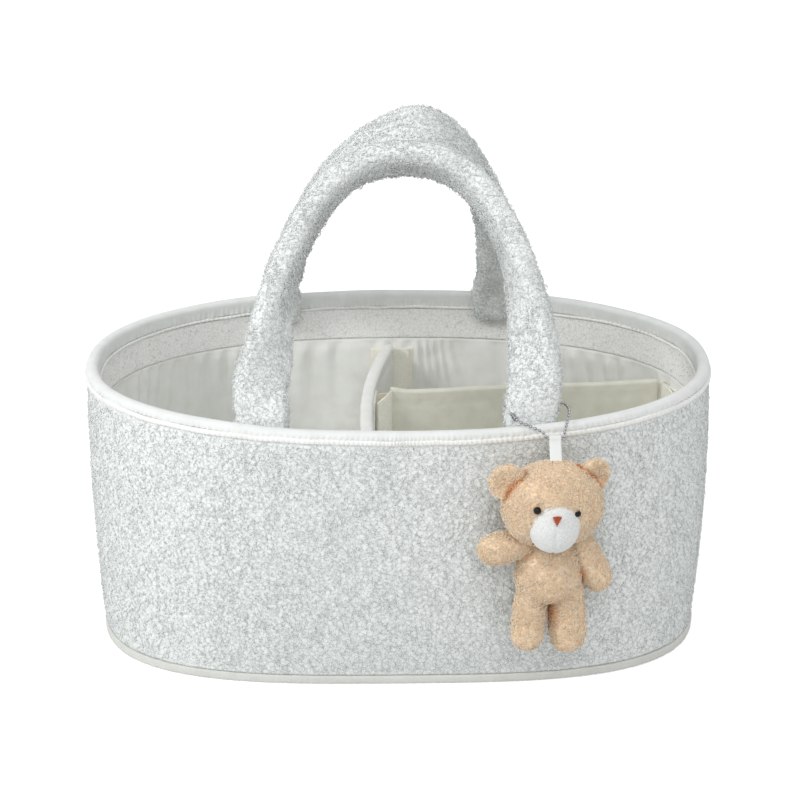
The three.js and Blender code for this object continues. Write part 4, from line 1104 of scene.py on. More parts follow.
def make_join_flap(free_end, sewn_end, low, high):
    """The cloth flap that joins the long divider to the cross divider, with its stitched edge."""
    half, top_drop, stitches = 0.55, 4.5, 46
    shares = np.linspace(0, 1, 26)[:, None]
    across = np.array([(sewn_end - free_end)[1], -(sewn_end - free_end)[0]])
    across /= np.linalg.norm(across)
    line = sewn_end + (free_end - sewn_end) * shares + across * np.sin(math.pi * shares) * 1.3
    sides = line_across(line)
    rows = []
    for rise in np.concatenate([np.linspace(0, 0.97, 40), [0.985, 0.995, 1.0]]):
        thin = half * math.sqrt(max(1 - max(0, (rise - 0.97) / 0.03) ** 2, 0.02))
        heights = low + (high + 1.6 - top_drop * shares[:, 0] ** 1.4 - low) * rise
        ripple = np.sin(heights / 3.1) * 0.25 * shares[:, 0]
        right, left = (np.column_stack([line + sides * (ripple + stand)[:, None], heights])
                       for stand in (thin, -thin))
        rows.append(np.concatenate([right, left[::-1]]))
    new_piece("long_divider_flap_cloth", lofted(rows), "tape", "long_divider")
    heights = np.linspace(high - top_drop - 38, high - top_drop + 1.2, stitches)
    edge = np.column_stack([np.tile(line[-1], (stitches, 1)), heights])
    zigzag = (np.arange(stitches) % 2 * 2 - 1)[:, None] * np.array([[0.35, 0.5, 0]])
    new_piece("long_divider_flap_stitches", cord_form(edge + zigzag, 0.42), "white_thread", "long_divider")


def cord_form(line, radius):
    """A thin round cord through points."""
    way = unit(np.gradient(line, axis=0))
    u = unit(np.cross(way, np.array([0.3, 0.9, 0.1])))
    v = np.cross(way, u)
    return lofted([ring(line[k], u[k], v[k], radius, 7) for k in range(len(line))])


# Handles
def arch_line(handle):
    """A handle's middle line over its arch, finely stepped."""
    turns = np.linspace(0, math.pi, 4001)
    bend = 2 / handle["round"]
    along = -handle["half"] * bent(np.cos(turns), bend)
    up = handle["rise"] * np.abs(np.sin(turns)) ** bend
    lean = math.radians(handle["lean"])
    rise = up / handle["rise"]
    height = FOLD_HEIGHT + up * math.cos(lean)
    x = along + handle["shift"] + handle["skew"] * rise ** 2
    x += np.where(along < 0, handle["left_draw"] * np.sin(math.pi * rise ** 0.6), 0)
    x -= np.where(along < 0, handle["left_step"] * np.exp(-((height - STEP_HEIGHT) / 20) ** 2), 0)
    return np.column_stack([x, handle["side"] * (FOLD_INSET - up * math.sin(lean)), height])


def arch_frames(handle):
    """Centres, facings, widths and thicknesses evenly along a handle's arch, which twists as it rises."""
    line = arch_line(handle)
    lengths = run_along(line)
    wanted = np.linspace(0, lengths[-1], ARCH_STEPS + 1)
    centre = np.column_stack([np.interp(wanted, lengths, line[:, k]) for k in range(3)])
    tangent = unit(np.gradient(centre, axis=0))
    lean = math.radians(handle["lean"])
    plane = np.array([0, handle["side"] * math.cos(lean), math.sin(lean)])
    flat = unit(plane - tangent * (tangent @ plane)[:, None])
    out = np.cross(flat, tangent) * handle["side"]
    step = np.arange(ARCH_STEPS + 1)
    share = np.minimum(step, ARCH_STEPS - step) / (ARCH_STEPS / 2)
    within = np.where(step < ARCH_STEPS / 2, *handle["twist_shares"])
    twist = (math.pi / 2) * (1 - (1 - np.clip(share / within, 0, 1)) ** 2)
    facing = flat * np.cos(twist)[:, None] + out * np.sin(twist)[:, None]
    return centre, facing, np.full(ARCH_STEPS + 1, STRAP_WIDTH), np.full(ARCH_STEPS + 1, STRAP_THICKNESS)


def root_frames(handle, x):
    """The sewn root below the fold, from its lower end up."""
    turn = turn_at_x(x, handle["side"], HEIGHT)
    heights, widths, thicknesses = np.array(ROOT_LEVELS).T
    rim = wall_points(turn, heights, 0.0)
    normal = rim - wall_points(turn, heights, 1.0)
    centre = rim - normal * (FACING_INNER + GAP + 0.6 + thicknesses / 2)[:, None]
    return centre, normal, widths, thicknesses


def strap_frames(handle):
    """One strap from its left root, over the arch and down to its right root."""
    arch = arch_frames(handle)
    left = root_frames(handle, handle["shift"] - handle["half"] - handle["left_step"])
    right = root_frames(handle, handle["shift"] + handle["half"])
    parts = [np.concatenate([left[k], arch[k][4:-4], right[k][::-1]]) for k in range(4)]
    positions = run_along(parts[0])
    wanted = np.linspace(0, positions[-1], int(positions[-1] / STRAP_SPACING))
    centre, facing, width, thickness = (smooth_through(part, positions, wanted) for part in parts)
    tangent = unit(np.gradient(centre, axis=0))
    facing = unit(without(facing, tangent))
    near_fold = np.exp(-((centre[:, 2] - FOLD_HEIGHT) / 20) ** 2) * (centre[:, 0] < 0)
    width = width * (1 - handle["left_squeeze"] * near_fold)
    return centre, np.cross(facing, tangent), facing, width, thickness


def strap_form(centre, across, facing, half_width, half_thickness):
    """A strap of flat oval section through its frames."""
    angles = 2 * math.pi * (np.arange(STRAP_SIDES) + 0.5) / STRAP_SIDES
    wide = bent(np.cos(angles), 0.5)[None, :, None] * half_width[:, None, None]
    deep = bent(np.sin(angles), 0.65)[None, :, None] * half_thickness[:, None, None]
    return lofted(centre[:, None] + across[:, None] * wide + facing[:, None] * deep)


def make_handle(name, handle, cloth, salt):
    """A padded boucle strap with its pile, and its padding, which rides the handle's own body."""
    body = f"{name}_handle"
    centre, across, facing, width, thickness = strap_frames(handle)
    skin, faces = strap_form(centre, across, facing, width / 2 + STRAP_STAND, thickness / 2 + STRAP_STAND)
    normals = vertex_normals(skin, faces)
    wave = soft_noise(skin, 17, salt + 3) * 0.45
    points = boucle_shape(skin + normals * wave[:, None], normals, cloth, salt, 0.9)
    nodes = [f"{body}_cover", f"{body}_root_left", f"{body}_root_right"]
    strap = new_piece(f"{body}_strap", (points, faces), "boucle", None, nodes)
    pieces = [strap] + strap_pile(body, skin, faces, cloth, salt)
    inner = centre[:, 2] > FOLD_HEIGHT + 8
    padding = strap_form(centre[inner], across[inner], facing[inner], 0.6 * width[inner] / 2,
                         0.55 * thickness[inner] / 2)
    new_piece(f"{body}_padding", padding, "foam", body, [f"{body}_foam"])
    for piece in pieces:
        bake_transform(piece)


def strap_pile(body, skin, faces, cloth, salt):
    """A strap's curls, in parts so that no piece grows too large, and its loose loops."""
    area = surface_area(skin, faces)
    samples = surface_samples(skin, faces, int(area / cloth.curl_area * 1.2), salt + 5)
    place, normal = on_nubs(samples, cloth, salt)
    pieces = []
    for part in range(PILE_PARTS):
        keep = slice(part * len(place) // PILE_PARTS, (part + 1) * len(place) // PILE_PARTS)
        pieces.append(curl_piece(f"{body}_pile_{part + 1}", (place[keep], normal[keep]), cloth.curl_radius,
                                 cloth.yarn_radius, salt + 6 + part, None, lift=0.45))
    loops = surface_samples(skin, faces, int(area / cloth.loop_area * 1.8), salt + 15)
    pieces.append(curl_piece(f"{body}_loops", loops, cloth.loop_radius, cloth.yarn_radius * 0.8, salt + 16,
                             None, lift=0.3, rings=7))
    return pieces


# Charm
def charm_point(p):
    """The world place of a point in the bear's own frame."""
    p = np.asarray(p, float)
    place = charm_origin()
    x, y = turned(p[..., 0], -p[..., 1], CHARM_YAW)
    return np.stack([place[0] + x, place[1] + y, p[..., 2]], axis=-1)


def charm_origin():
    """The point of the wall behind the bear, from where the head lies in the frame."""
    middle = cad_middle("bear_head")
    x, y = turned(HEAD_CENTRE[0], -HEAD_CENTRE[1], CHARM_YAW)
    return middle[0] - x, middle[1] - y


def in_world(form):
    """A form of the bear's own frame, in the world, where its faces are mirrored."""
    points, faces = form
    return charm_point(points), flipped(faces)


def plush_lift(points, salt):
    """How far short plush stands up in its nubs."""
    return (nub_height(points, PLUSH_NUB, salt) - NUB_LEVEL) * PLUSH_NUB_DEPTH


def plush_piece(name, form, nodes, body, salt, seams):
    """A stuffed plush form: short nubby pile, curls on top, and painted shade in the seams where it meets
    others.
    """
    local, faces = form
    normals = vertex_normals(local, faces)
    push = plush_lift(local, salt) + soft_noise(local, 9, salt + 2) * 0.5
    piece = new_piece(name, in_world((local + normals * push[:, None], faces)), "plush", body, nodes)
    set_seam_shade(piece, crease_shade(local, seams))
    count = int(surface_area(local, faces) / PLUSH_CURL_AREA)
    places, directions = surface_samples(local, faces, count, salt + 5)
    places = places + directions * plush_lift(places, salt)[:, None]
    parts = math.ceil(len(places) / PILE_LIMIT)
    for part in range(parts):
        place, normal = places[part::parts], directions[part::parts]
        out = charm_point(place + normal) - charm_point(place)
        curls = yarn_curls(charm_point(place + normal * 0.1), out, PLUSH_CURL, PLUSH_YARN_RADIUS,
                           salt + 6 + part, lift=0.5)
        pile = new_piece(f"{name}_pile_{part + 1}", curls, "plush_curl", body,
                         uv=atlas_uv(curls[1], len(place)))
        set_seam_shade(pile, np.repeat(crease_shade(place, seams), len(curls[0]) // len(place)))


def crease_shade(local, sources):
    """How much painted seam shade each point takes, from 0 to 1."""
    return np.max([source(local) for source in sources] + [np.zeros(len(local))], axis=0)


def set_seam_shade(piece, values):
    """Stores each point's painted seam shade for the material."""
    attribute = piece.data.attributes.new("painted_seam_shade", "FLOAT", "POINT")
    attribute.data.foreach_set("value", np.asarray(values, np.float32))


def outside(p, centre, half, power=HEAD_ROUNDNESS):
    """Roughly how far each point lies outside a rounded form."""
    reach = (np.abs((p - centre) / half) ** power).sum(axis=1) ** (1 / power)
    return (reach - 1) * float(np.mean(half))


def seam(distance, width):
    """How strongly painted seam shade tints what lies this far from a seam."""
    return np.exp(-(np.maximum(distance, 0) / width) ** 2)


def near_head(p):
    """Painted shade along the seam round the head, on the body and arms."""
    return seam(outside(p, HEAD_CENTRE, HEAD_HALF), 1.8) * 0.55


def near_ear_fold(p):
    """Painted shade along the seam round the head, on the ears."""
    return seam(outside(p, HEAD_CENTRE, HEAD_HALF), 1.1) * 0.9


def near_torso(p):
    """Painted shade along the seam beside the torso, on the arms."""
    half = torso_half(p[:, 2])
    x = (p[:, 0] - TORSO_MIDDLE) / (TORSO_HALF[0] * half)
    y = (p[:, 1] - TORSO_OUT) / (TORSO_HALF[1] * half)
    return seam((np.hypot(x, y) - 1) * 16, 2.6) * np.clip((88 - p[:, 2]) / 6, 0, 1)


def near_arms(p):
    """Painted shade along the seams beside the arms, on the body."""
    shade = np.zeros(len(p))
    for shoulder, way, drop in SHOULDERS.values():
        along = arm_way(way, drop)
        away = p - shoulder
        run = away @ along
        aside = np.linalg.norm(away - run[:, None] * along, axis=1)
        near = seam(np.abs(aside - ARM_RADIUS), 2.4) * (run > -2) * (run < ARM_SEAM_SHADE_ENDS[way])
        strength = 1.0 if way > 0 else 0.35
        shade = np.maximum(shade, near * (p[:, 2] < ARM_SEAM_SHADE_TOPS[way]) * strength)
    return shade


def near_ears(p):
    """Painted shade along the seams round the ears, on the head."""
    shade = np.zeros(len(p))
    for place, way in EARS.values():
        distance = outside(p, HEAD_CENTRE + place, np.array([EAR_RADIUS + 1, 5.5, EAR_RADIUS + 1]), 2.0)
        shade = np.maximum(shade, seam(distance, 0.9) * (1.0 if way > 0 else 0.6))
    return shade


def near_crotch(p):
    """Painted shade along the seam between the legs."""
    middle = seam(np.abs(p[:, 0] - TORSO_MIDDLE - 0.9), 2.8)
    return middle * seam(np.abs(p[:, 2] - 58), 9.0)


def limb_rows(base, way, length, radius, stops):
    """A limb from its sewn end along a direction, through [share along, share of radius] stops."""
    way = np.array(way, float) / np.linalg.norm(way)
    out = np.array([0.0, 1.0, 0.0])
    out = out - way * (out @ way)
    out /= np.linalg.norm(out)
    cross = np.cross(way, out)
    along, wide = np.array(stops).T
    shares = 1 - (1 - np.linspace(0, 1, 50)) ** 1.6
    widths = smooth_through(wide, along, shares) * radius
    return [ring(np.array(base) + way * (share * length), cross, out, width, 48)
            for share, width in zip(shares, widths)]


def arm_way(way, drop):
    """The direction of an arm that hangs by so many degrees."""
    angle = math.radians(drop)
    return np.array([way * math.cos(angle), 0.0, -math.sin(angle)])


def fused(name, forms, cell):
    """One smooth closed skin round several closed forms, in cells of a size."""
    points, faces = joined(forms)
    mesh = bpy.data.meshes.new(name)
    mesh.from_pydata(points.tolist(), [], [corners for f in faces for corners in f.tolist()])
    source = bpy.data.objects.new(name, mesh)
    bpy.context.scene.collection.objects.link(source)
    remesh = source.modifiers.new("remesh", "REMESH")
    remesh.mode = "VOXEL"
    remesh.voxel_size = cell
    smooth = source.modifiers.new("smooth", "SMOOTH")
    smooth.factor = 0.5
    smooth.iterations = 9
    result = source.evaluated_get(bpy.context.evaluated_depsgraph_get()).to_mesh()
    flat = np.empty(len(result.vertices) * 3)
    result.vertices.foreach_get("co", flat)
    polygons = [list(p.vertices) for p in result.polygons]
    source.to_mesh_clear()
    bpy.data.objects.remove(source)
    bpy.data.meshes.remove(mesh)
    kinds = [np.array([p for p in polygons if len(p) == size]) for size in (4, 3)]
    skin = flat.reshape(-1, 3)
    return skin, outward(skin, [kind for kind in kinds if len(kind)])


def torso_half(z):
    """The torso's girth at a height, as a share of its widest."""
    share = np.clip((z - TORSO_BOTTOM) / (TORSO_TOP - TORSO_BOTTOM), 0, 1)
    return np.interp(share, *zip(*TORSO_SHARES))


def body_forms():
    """The torso and the two legs."""
    turns = round_turns(80)
    torso = [np.stack([TORSO_MIDDLE + np.cos(turns) * TORSO_HALF[0] * torso_half(z),
                       TORSO_OUT + np.sin(turns) * TORSO_HALF[1] * torso_half(z), np.full(80, z)], axis=1)
             for z in np.linspace(TORSO_BOTTOM, TORSO_TOP, 60)]
    forms = [lofted(torso)]
    for name, way in (("left", -1), ("right", 1)):
        tilt = LEG_TILT * way
        hip = np.array([TORSO_MIDDLE + way * LEG_SPREADS[name], TORSO_OUT, LEG_TOP])
        forms.append(lofted(limb_rows(hip, (math.sin(tilt), 0.0, -math.cos(tilt)), LEG_LENGTHS[name],
                                      LEG_RADII[name], LEG_SHARES)))
    return forms


def ear_rows(place, way):
    """A flat round ear, cupped towards the front and folded where it is sewn on."""
    rows = []
    radial = 30
    turns = round_turns(64)
    for i in range(radial):
        a = math.pi * (i + 0.5) / radial - math.pi / 2
        loop = np.stack([np.cos(turns) * math.cos(a), np.full(64, math.sin(a)),
                         np.sin(turns) * math.cos(a)], axis=1)
        local = loop * [EAR_RADIUS, 3.4, EAR_RADIUS]
        local[:, 1] += 3.2 * (loop[:, 0] ** 2 + loop[:, 2] ** 2) - 1.6
        rows.append(local)
    rows = np.asarray(rows)
    x, y = turned(rows[..., 0], rows[..., 1], EAR_TURN * way)
    return np.stack([x, y, rows[..., 2]], axis=-1) + HEAD_CENTRE + place


def make_bear():
    """The bear's head, body with legs, arms, ears and face."""
    head = ball_points(HEAD_CENTRE, HEAD_HALF - 0.3, HEAD_ROUNDNESS, 74, 96)
    lower = np.clip((HEAD_CENTRE[2] - head[..., 2]) / HEAD_HALF[2], -1, 1)
    head[..., 0] = HEAD_CENTRE[0] + (head[..., 0] - HEAD_CENTRE[0]) * (1 + 0.035 * lower)
    plush_piece("bear_head_plush", lofted(head), ["bear_head"], "charm", 201, [near_ears])
    plush_piece("bear_body_plush", fused("bear_body_form", body_forms(), 0.8),
                ["bear_torso", "bear_leg_left", "bear_leg_right"], "charm", 221,
                [near_head, near_arms, near_crotch])
    for name, (shoulder, way, drop) in SHOULDERS.items():
        along = arm_way(way, drop)
        base = shoulder - along * (0.6 * ARM_RADIUS)
        rows = limb_rows(base, along, ARM_LENGTHS[name], ARM_RADIUS, ARM_SHARES)
        plush_piece(f"bear_arm_{name}_plush", lofted(rows), [f"bear_arm_{name}"], f"bear_{name}_arm",
                    240 + way, [near_torso, near_head])
    for name, (place, way) in EARS.items():
        plush_piece(f"bear_ear_{name}_plush", lofted(ear_rows(place, way)), [f"bear_ear_{name}"], "charm",
                    260 + way, [near_ear_fold])
    make_muzzle()
    for name in EYE_SHIFTS:
        make_eye(name)
    make_nose()
    make_mouth_stitch()


def face_turned(p):
    """A place on the face, turned about the middle of the head to where the face looks."""
    away = np.asarray(p, float) - HEAD_CENTRE
    x, y = turned(away[..., 0], away[..., 1], FACE_TURN)
    return np.stack([x, y, away[..., 2]], axis=-1) + HEAD_CENTRE


def face_frame():
    """The face's own ways along, out and up, in the world."""
    yaw = CHARM_YAW - FACE_TURN
    return (np.array([math.cos(yaw), math.sin(yaw), 0]), np.array([math.sin(yaw), -math.cos(yaw), 0]),
            np.array([0, 0, 1.0]))


def make_muzzle():
    """The white muzzle, with a groove down its middle below the nose."""
    local, faces = lofted(ball_points(MUZZLE_CENTRE, MUZZLE_HALF, 2.05, 60, 80))
    normals = vertex_normals(local, faces)
    below = np.clip((MUZZLE_CENTRE[2] + 4 - local[:, 2]) / 3, 0, 1)
    groove = np.exp(-((local[:, 0] - MUZZLE_CENTRE[0] + 1.0) / 0.8) ** 2) * below
    push = soft_noise(local, 1.2, 301) * 0.13 + soft_noise(local, 6, 302) * 0.3 - groove * 0.55
    shaped = face_turned(local + normals * push[:, None])
    piece = new_piece("bear_muzzle_velour", in_world((shaped, faces)), "muzzle", "charm", ["bear_muzzle"])


def make_mouth_stitch():
    """The end of the mouth's thread, at the muzzle's lower left edge."""
    way = np.array([-0.56, 0.5, -0.66])
    reach = (np.abs(way / HEAD_HALF) ** HEAD_ROUNDNESS).sum() ** (-1 / HEAD_ROUNDNESS)
    middle = HEAD_CENTRE + way * (reach + 0.9)
    along = np.array([0.8, 0.0, 0.6])
    out = np.array([0.0, 1.0, 0.0])
    rows = [ring(middle + along * share * 1.1, np.cross(along, out), out,
                 0.42 * math.sqrt(max(1 - share * share, 0.04)), 10) for share in np.linspace(-1, 1, 9)]
    new_piece("bear_mouth_stitch", in_world(lofted(rows)), "thread", "charm")


def make_eye(name):
    """A glossy bead, set a little aside from its solid."""
    shift = sum(way * amount for way, amount in zip(face_frame(), EYE_SHIFTS[name]))
    bead = lofted(ball_points(cad_middle(f"bear_eye_{name}") + shift, EYE_DIAMETER / 2, 2.0, 20, 32))
    new_piece(f"bear_eye_{name}_bead", bead, "eye", "charm", [f"bear_eye_{name}"])


def make_nose():
    """A satin-stitched triangle: threads side by side, shorter towards its ends."""
    along, out, up = face_frame()
    middle = cad_middle("bear_nose") - along * NOSE_ASIDE + up * 0.6 + out * 0.3
    threads = []
    for k in range(NOSE_THREADS):
        share = (k + 0.5) / NOSE_THREADS * 2 - 1
        bottom = -3.1 + 5.2 * abs(share)
        top = 2.9 - 0.3 * abs(share)
        foot = middle + along * (share * 2.4)
        rows = []
        for t in np.linspace(0, 1, 7):
            bulge = 0.75 * max(0, math.sin(math.pi * t)) ** 0.6 - 0.25
            centre = foot + up * (bottom + (top - bottom) * t) + out * (bulge + 0.9)
            rows.append(ring(centre, along * 0.34, out * 0.3, 1.0, 6))
        tips = [foot + up * (bottom - 0.2) + out * 0.2, foot + up * (top + 0.2) + out * 0.2]
        threads.append(lofted(rows, tips))
    new_piece("bear_nose_stitches", joined(threads), "thread", "charm", ["bear_nose"])


# Chain and ribbon
def chain_routes():
    """The chain's two stretches, where the frame's tubes run, and the points they are measured from."""
    leg_x = HANDLES["front"]["shift"] + HANDLES["front"]["half"]
    rim = wall_points(turn_at_x(leg_x, -1, WALL_HEIGHT), WALL_HEIGHT, 0.0)
    fold = np.array([leg_x, -FOLD_INSET, FOLD_HEIGHT])
    left = rim + np.array([[3.9, -8.5, -2.2], [2.2, -5.3, -0.8], [-1, -2.5, -0.1], [-5.2, -0.3, 1.1],
                           [-9, 1.7, 2.1], [-11.7, 3.3, 3.2]])
    around = fold + np.array([[-17.1, -5.6, -5.6], [-18.1, -2.1, -6], [-17.2, 3.3, -7.1], [-13.8, 6.9, -8.4],
                              [-7.8, 8.3, -9.1], [0.2, 9.1, -9.4], [8.2, 10.1, -9.4], [14, 9.5, -9.3],
                              [17.8, 6.1, -9.1], [18.8, 1.5, -9], [19, -3.5, -9.1]])
    front = rim + np.array([[18.4, 9.9, 3.3], [17.2, 4.7, 1.6], [16, -0.3, 0.2], [15, -4.9, -0.8],
                            [14.5, -8.5, -2.2]])
    return left, np.concatenate([around, front]), rim, fold


def balls_along(route):
    """Even places for balls along a smooth route."""
    fine = smooth_through(route, np.arange(len(route), dtype=float), np.linspace(0, len(route) - 1, 900))
    lengths = run_along(fine)
    wanted = np.linspace(0, lengths[-1], max(2, round(lengths[-1] / BALL_PITCH) + 1))
    return np.column_stack([np.interp(wanted, lengths, fine[:, k]) for k in range(3)])


def ball_chain(name, centres, body, nodes):
    """Balls on short rods."""
    pole = np.array([0, 0, BALL / 2])
    forms = [lofted(ball_points(c, BALL / 2, 2.0, 8, 12), [c - pole, c + pole]) for c in centres]
    for a, b in zip(centres[:-1], centres[1:]):
        way = (b - a) / np.linalg.norm(b - a)
        helper = np.array([0.0, 0.0, 1.0]) if abs(way[2]) < 0.9 else np.array([1.0, 0.0, 0.0])
        u = unit(np.cross(way, helper))
        v = np.cross(way, u)
        forms.append(lofted([ring(p, u, v, ROD_RADIUS, 6) for p in (a + way * 0.9, b - way * 0.9)]))
    new_piece(name, joined(forms), "steel", body, nodes)


def make_chain():
    """The ball chain in its two stretches, the balls in the ribbon's loop, and the clasp."""
    left, right, rim, fold = chain_routes()
    ball_chain("charm_ball_chain_left", balls_along(left), "basket", ["charm_chain_left"])
    ball_chain("charm_ball_chain_right", balls_along(right), "basket", ["charm_chain_right"])
    across = np.array([[x, 0, 0] for x in (-RIBBON_WIDTH / 2, 0, RIBBON_WIDTH / 2)])
    balls = cad_middle("charm_chain_link") + across
    ball_chain("charm_ball_chain_link", balls, "charm_link", ["charm_chain_link"])
    make_clasp(rim + np.array([-12.4, 3.9, 3.3]), fold + np.array([-16.6, -6.5, -5.8]))


def make_clasp(start, end):
    """The clasp: a rolled tube with a flared mouth at each end and a slot along it."""
    u = unit(np.cross(unit(end - start), [0, 0, 1.0]))
    v = np.cross(unit(end - start), u)
    stops = ((0.0, 0.8), (0.0, 1.25), (0.06, 1.35), (0.14, 1.2), (0.3, 1.3), (0.5, 1.15), (0.7, 1.3),
             (0.86, 1.2), (0.94, 1.35), (1.0, 1.25), (1.0, 0.8))
    slot = 1 - 0.32 * np.exp(-((round_turns(28) - math.pi) / 0.28) ** 2)
    rows = [ring(start + (end - start) * share, u, v, slot[:, None] * radius, 28) for share, radius in stops]
    new_piece("charm_chain_clasp_tube", lofted(rows), "steel", "basket", ["charm_chain_clasp"])


def ribbon_line():
    """The folded tape seen from its edge: how far out and how far down it runs."""
    radius, apart = BALL / 2 + 0.65, 0.42
    loop = [(radius * math.cos(a), -radius * math.sin(a)) for a in np.linspace(-0.75, math.pi + 0.75, 26)]
    legs = np.linspace(RIBBON_LENGTH, radius + 1.8, 8)
    path = np.array([(apart, down) for down in legs] + loop + [(-apart, down) for down in legs[::-1]])
    lengths = run_along(path)
    return smooth_through(path, lengths, np.linspace(0, lengths[-1], 90))


def make_ribbon():
    """The folded tape that carries the bear, looped over the chain."""
    pivot = cad_middle("charm_chain_link")
    slope = math.radians(45)
    down = np.array([0, -math.sin(slope), -math.cos(slope)])
    out = np.array([0, -math.cos(slope), math.sin(slope)])
    half = RIBBON_WIDTH / 2
    columns = np.linspace(-half, half, 12)
    line = ribbon_line()
    rows = []
    for place, normal in zip(line, line_across(line)):
        loop = []
        for side, order in ((0.5, columns), (-0.5, columns[::-1])):
            for x in order:
                o, d = place + normal * (RIBBON_THICKNESS * side * (1 - 0.3 * abs(x / half) ** 8))
                loop.append(pivot + np.array([x, 0, 0]) + out * o + down * d)
        rows.append(loop)
    new_piece("charm_ribbon_tape", lofted(rows), "cotton", "charm", ["charm_ribbon"])


# Pieces that stay as the frame holds them
CARRIED = {
    "foam": ("wall_foam",),
    "cotton": ("base_cover",),
    "board": ("base_board", "cross_divider_board", "long_divider_board"),
    "tape": ("loop_strip_back", "loop_strip_front", "loop_strip_end", "cross_divider_loop_strip",
             "cross_divider_tab_back", "cross_divider_tab_front", "long_divider_tab_end",
             "long_divider_tab_join"),
}


def finish_carried():
    """Gives the frame's own pieces their materials."""
    for finish, nodes in CARRIED.items():
        for node in nodes:
            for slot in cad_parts[node].material_slots:
                slot.material = MATERIALS[finish]


# Stage
def seen_directly(tree):
    """1 for rays from the camera, and for those that metal and glass pass on."""
    path = add_node(tree, "LightPath").outputs
    first = add_node(tree, "Math", {"operation": "MAXIMUM"}, i_0=path["Is Camera Ray"],
                     i_1=path["Is Glossy Ray"])
    return add_node(tree, "Math", {"operation": "MAXIMUM"}, i_0=first, i_1=path["Is Transmission Ray"])


def choose(tree, output, plain, bright):
    """Shows the bright shader to what looks straight at it, and the plain one to the light."""
    choice = add_node(tree, "MixShader", None, i_0=seen_directly(tree), i_1=plain, i_2=bright)
    tree.links.new(choice.outputs[0], tree.nodes[output].inputs["Surface"])


def floor_material():
    """White to the camera, with the caddy's shadow on it."""
    material, tree, _ = new_material("white_floor")
    tree.nodes.remove(tree.nodes["Principled BSDF"])
    matte = add_node(tree, "BsdfDiffuse", None, Color=linear("#e6e6e6"))
    glow = add_node(tree, "Emission", None, Strength=0.55)
    both = add_node(tree, "AddShader", None, i_0=matte, i_1=glow)
    choose(tree, "Material Output", matte, both)
    return material


def make_world(strength):
    """Soft light from all round, white to the camera."""
    world = bpy.data.worlds.new("soft_studio")
    bpy.context.scene.world = world
    world.use_nodes = True
    tree = world.node_tree
    plain = tree.nodes["Background"]
    plain.inputs["Color"].default_value = (0.985, 0.99, 1.0, 1)
    plain.inputs["Strength"].default_value = strength
    bright = add_node(tree, "Background", None, Color=(1, 1, 1, 1), Strength=1.0)
    choose(tree, "World Output", plain, bright)


def make_stage(stage):
    """The floor, the light and the camera."""
    bpy.ops.mesh.primitive_plane_add(size=stage.floor_size)
    floor = bpy.context.object
    floor.name = "floor"
    floor.data.materials.append(floor_material())
    make_world(stage.sky)
    add_lamp("key", (-1.15, -0.64, 1.02), 0.45, stage.key_power)
    add_lamp("fill", (0.1, -1.2, 1.25), 1.0, stage.fill_power)
    make_camera()
    bpy.context.scene.view_settings.view_transform = "Standard"


def add_lamp(name, place, size, power):
    """A round soft light that looks at the caddy. Its place and size are in metres."""
    lamp = bpy.data.lights.new(name, "AREA")
    lamp.shape = "DISK"
    lamp.size = size
    lamp.energy = power
    holder = bpy.data.objects.new(name, lamp)
    bpy.context.scene.collection.objects.link(holder)
    holder.location = place
    aim = Vector((0, 0, 0.12)) - Vector(place)
    holder.rotation_euler = aim.to_track_quat("-Z", "Y").to_euler()


def make_camera():
    """The camera that was fitted to the photograph."""
    camera = bpy.data.cameras.new("camera")
    holder = bpy.data.objects.new("camera", camera)
    bpy.context.scene.collection.objects.link(holder)
    bpy.context.scene.camera = holder
    level = math.cos(CAMERA_TILT)
    ahead = Vector((-math.sin(CAMERA_TURN) * level, math.cos(CAMERA_TURN) * level, -math.sin(CAMERA_TILT)))
    target = Vector((0, 0, CAMERA_AIM_HEIGHT * MM))
    holder.location = target - ahead * (CAMERA_DISTANCE * MM)
    holder.rotation_euler = ahead.to_track_quat("-Z", "Y").to_euler()
    camera.sensor_width = SENSOR
    camera.lens = FOCAL_PIXELS / PHOTO_SIZE * SENSOR
    camera.shift_x = (PHOTO_SIZE / 2 - CENTRE_PIXEL[0]) / PHOTO_SIZE
    camera.shift_y = (CENTRE_PIXEL[1] - PHOTO_SIZE / 2) / PHOTO_SIZE
    camera.clip_start = 0.05
    camera.clip_end = 30


# Operators
class CADDY_OT_walls(bpy.types.Operator):
    """Makes the boucle walls and the facing inside the rim"""
    bl_idname = "caddy.walls"
    bl_label = "Make the walls"

    def execute(self, context):
        make_outer_shell(context.scene.caddy_cloth)
        make_inner_facing(context.scene.caddy_cloth)
        return {"FINISHED"}


class CADDY_OT_rim(bpy.types.Operator):
    """Makes the bound rim with its welts, and the piping at the foot"""
    bl_idname = "caddy.rim"
    bl_label = "Make the rim and piping"

    def execute(self, context):
        make_rim(context.scene.caddy_cloth)
        make_base_piping(context.scene.caddy_cloth)
        return {"FINISHED"}


class CADDY_OT_lining(bpy.types.Operator):
    """Makes the gathered lining and the floor"""
    bl_idname = "caddy.lining"
    bl_label = "Make the lining"

    def execute(self, context):
        make_lining(context.scene.caddy_cloth)
        make_floor()
        return {"FINISHED"}


class CADDY_OT_dividers(bpy.types.Operator):
    """Makes the two dividers and finishes the pieces that the frame already holds"""
    bl_idname = "caddy.dividers"
    bl_label = "Make the dividers"

    def execute(self, context):
        make_dividers()
        finish_carried()
        return {"FINISHED"}


class CADDY_OT_handles(bpy.types.Operator):
    """Makes the two padded handles"""
    bl_idname = "caddy.handles"
    bl_label = "Make the handles"

    def execute(self, context):
        for step, (name, handle) in enumerate(HANDLES.items()):
            make_handle(name, handle, context.scene.caddy_cloth, 150 + 20 * step)
        return {"FINISHED"}


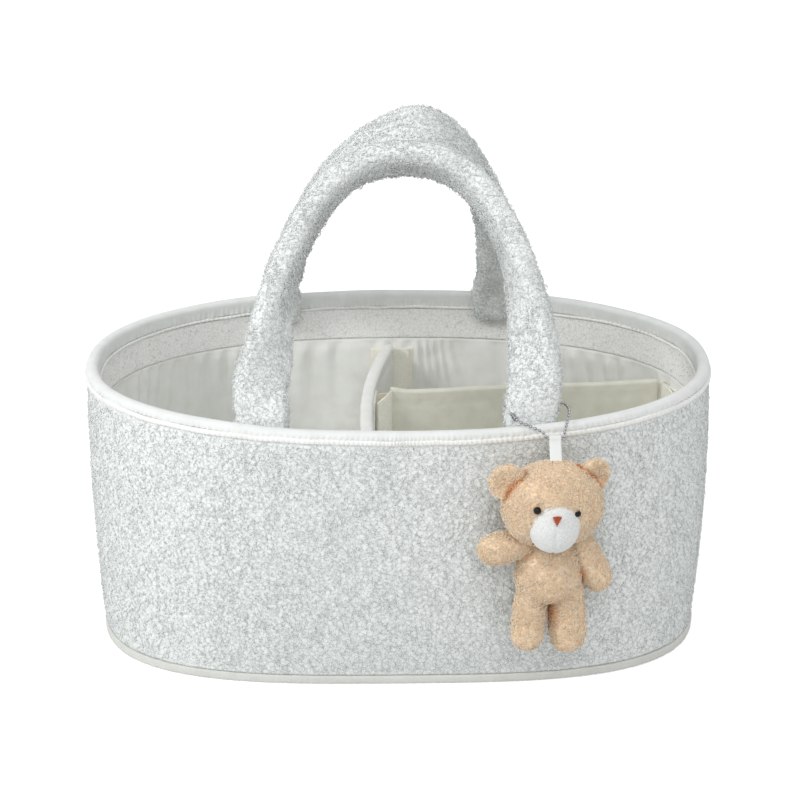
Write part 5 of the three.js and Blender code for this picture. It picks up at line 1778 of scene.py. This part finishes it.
class CADDY_OT_charm(bpy.types.Operator):
    """Makes the ball chain, its clasp and the ribbon"""
    bl_idname = "caddy.charm"
    bl_label = "Make the chain and ribbon"

    def execute(self, context):
        make_chain()
        make_ribbon()
        return {"FINISHED"}


class CADDY_OT_bear(bpy.types.Operator):
    """Makes the plush bear"""
    bl_idname = "caddy.bear"
    bl_label = "Make the bear"

    def execute(self, context):
        make_bear()
        return {"FINISHED"}


class CADDY_OT_stage(bpy.types.Operator):
    """Makes the floor, the light and the camera"""
    bl_idname = "caddy.stage"
    bl_label = "Make the stage"

    def execute(self, context):
        make_stage(context.scene.caddy_stage)
        return {"FINISHED"}


class CADDY_PT_panel(bpy.types.Panel):
    """Lists the steps that make the caddy"""
    bl_idname = "CADDY_PT_panel"
    bl_label = "Diaper caddy"
    bl_space_type = "VIEW_3D"
    bl_region_type = "UI"
    bl_category = "Caddy"

    def draw(self, context):
        for operator in OPERATORS:
            self.layout.operator(operator.bl_idname)


OPERATORS = (CADDY_OT_walls, CADDY_OT_rim, CADDY_OT_lining, CADDY_OT_dividers, CADDY_OT_handles,
             CADDY_OT_charm, CADDY_OT_bear, CADDY_OT_stage)
CLASSES = (CaddyCloth, CaddyColours, CaddyStage, *OPERATORS, CADDY_PT_panel)


def register():
    """Adds the classes and the scene's property groups."""
    for cls in CLASSES:
        bpy.utils.register_class(cls)
    bpy.types.Scene.caddy_cloth = bpy.props.PointerProperty(type=CaddyCloth)
    bpy.types.Scene.caddy_colours = bpy.props.PointerProperty(type=CaddyColours)
    bpy.types.Scene.caddy_stage = bpy.props.PointerProperty(type=CaddyStage)


def unregister():
    """Takes the classes and the property groups away."""
    del bpy.types.Scene.caddy_stage
    del bpy.types.Scene.caddy_colours
    del bpy.types.Scene.caddy_cloth
    for cls in reversed(CLASSES):
        bpy.utils.unregister_class(cls)


def main():
    """Makes the whole scene."""
    register()
    make_cloth_materials(bpy.context.scene.caddy_colours)
    make_charm_materials(bpy.context.scene.caddy_colours)
    bpy.ops.caddy.walls()
    bpy.ops.caddy.rim()
    bpy.ops.caddy.lining()
    bpy.ops.caddy.dividers()
    bpy.ops.caddy.handles()
    bpy.ops.caddy.charm()
    bpy.ops.caddy.bear()
    bpy.ops.caddy.stage()


if __name__ == "__main__":
    main()
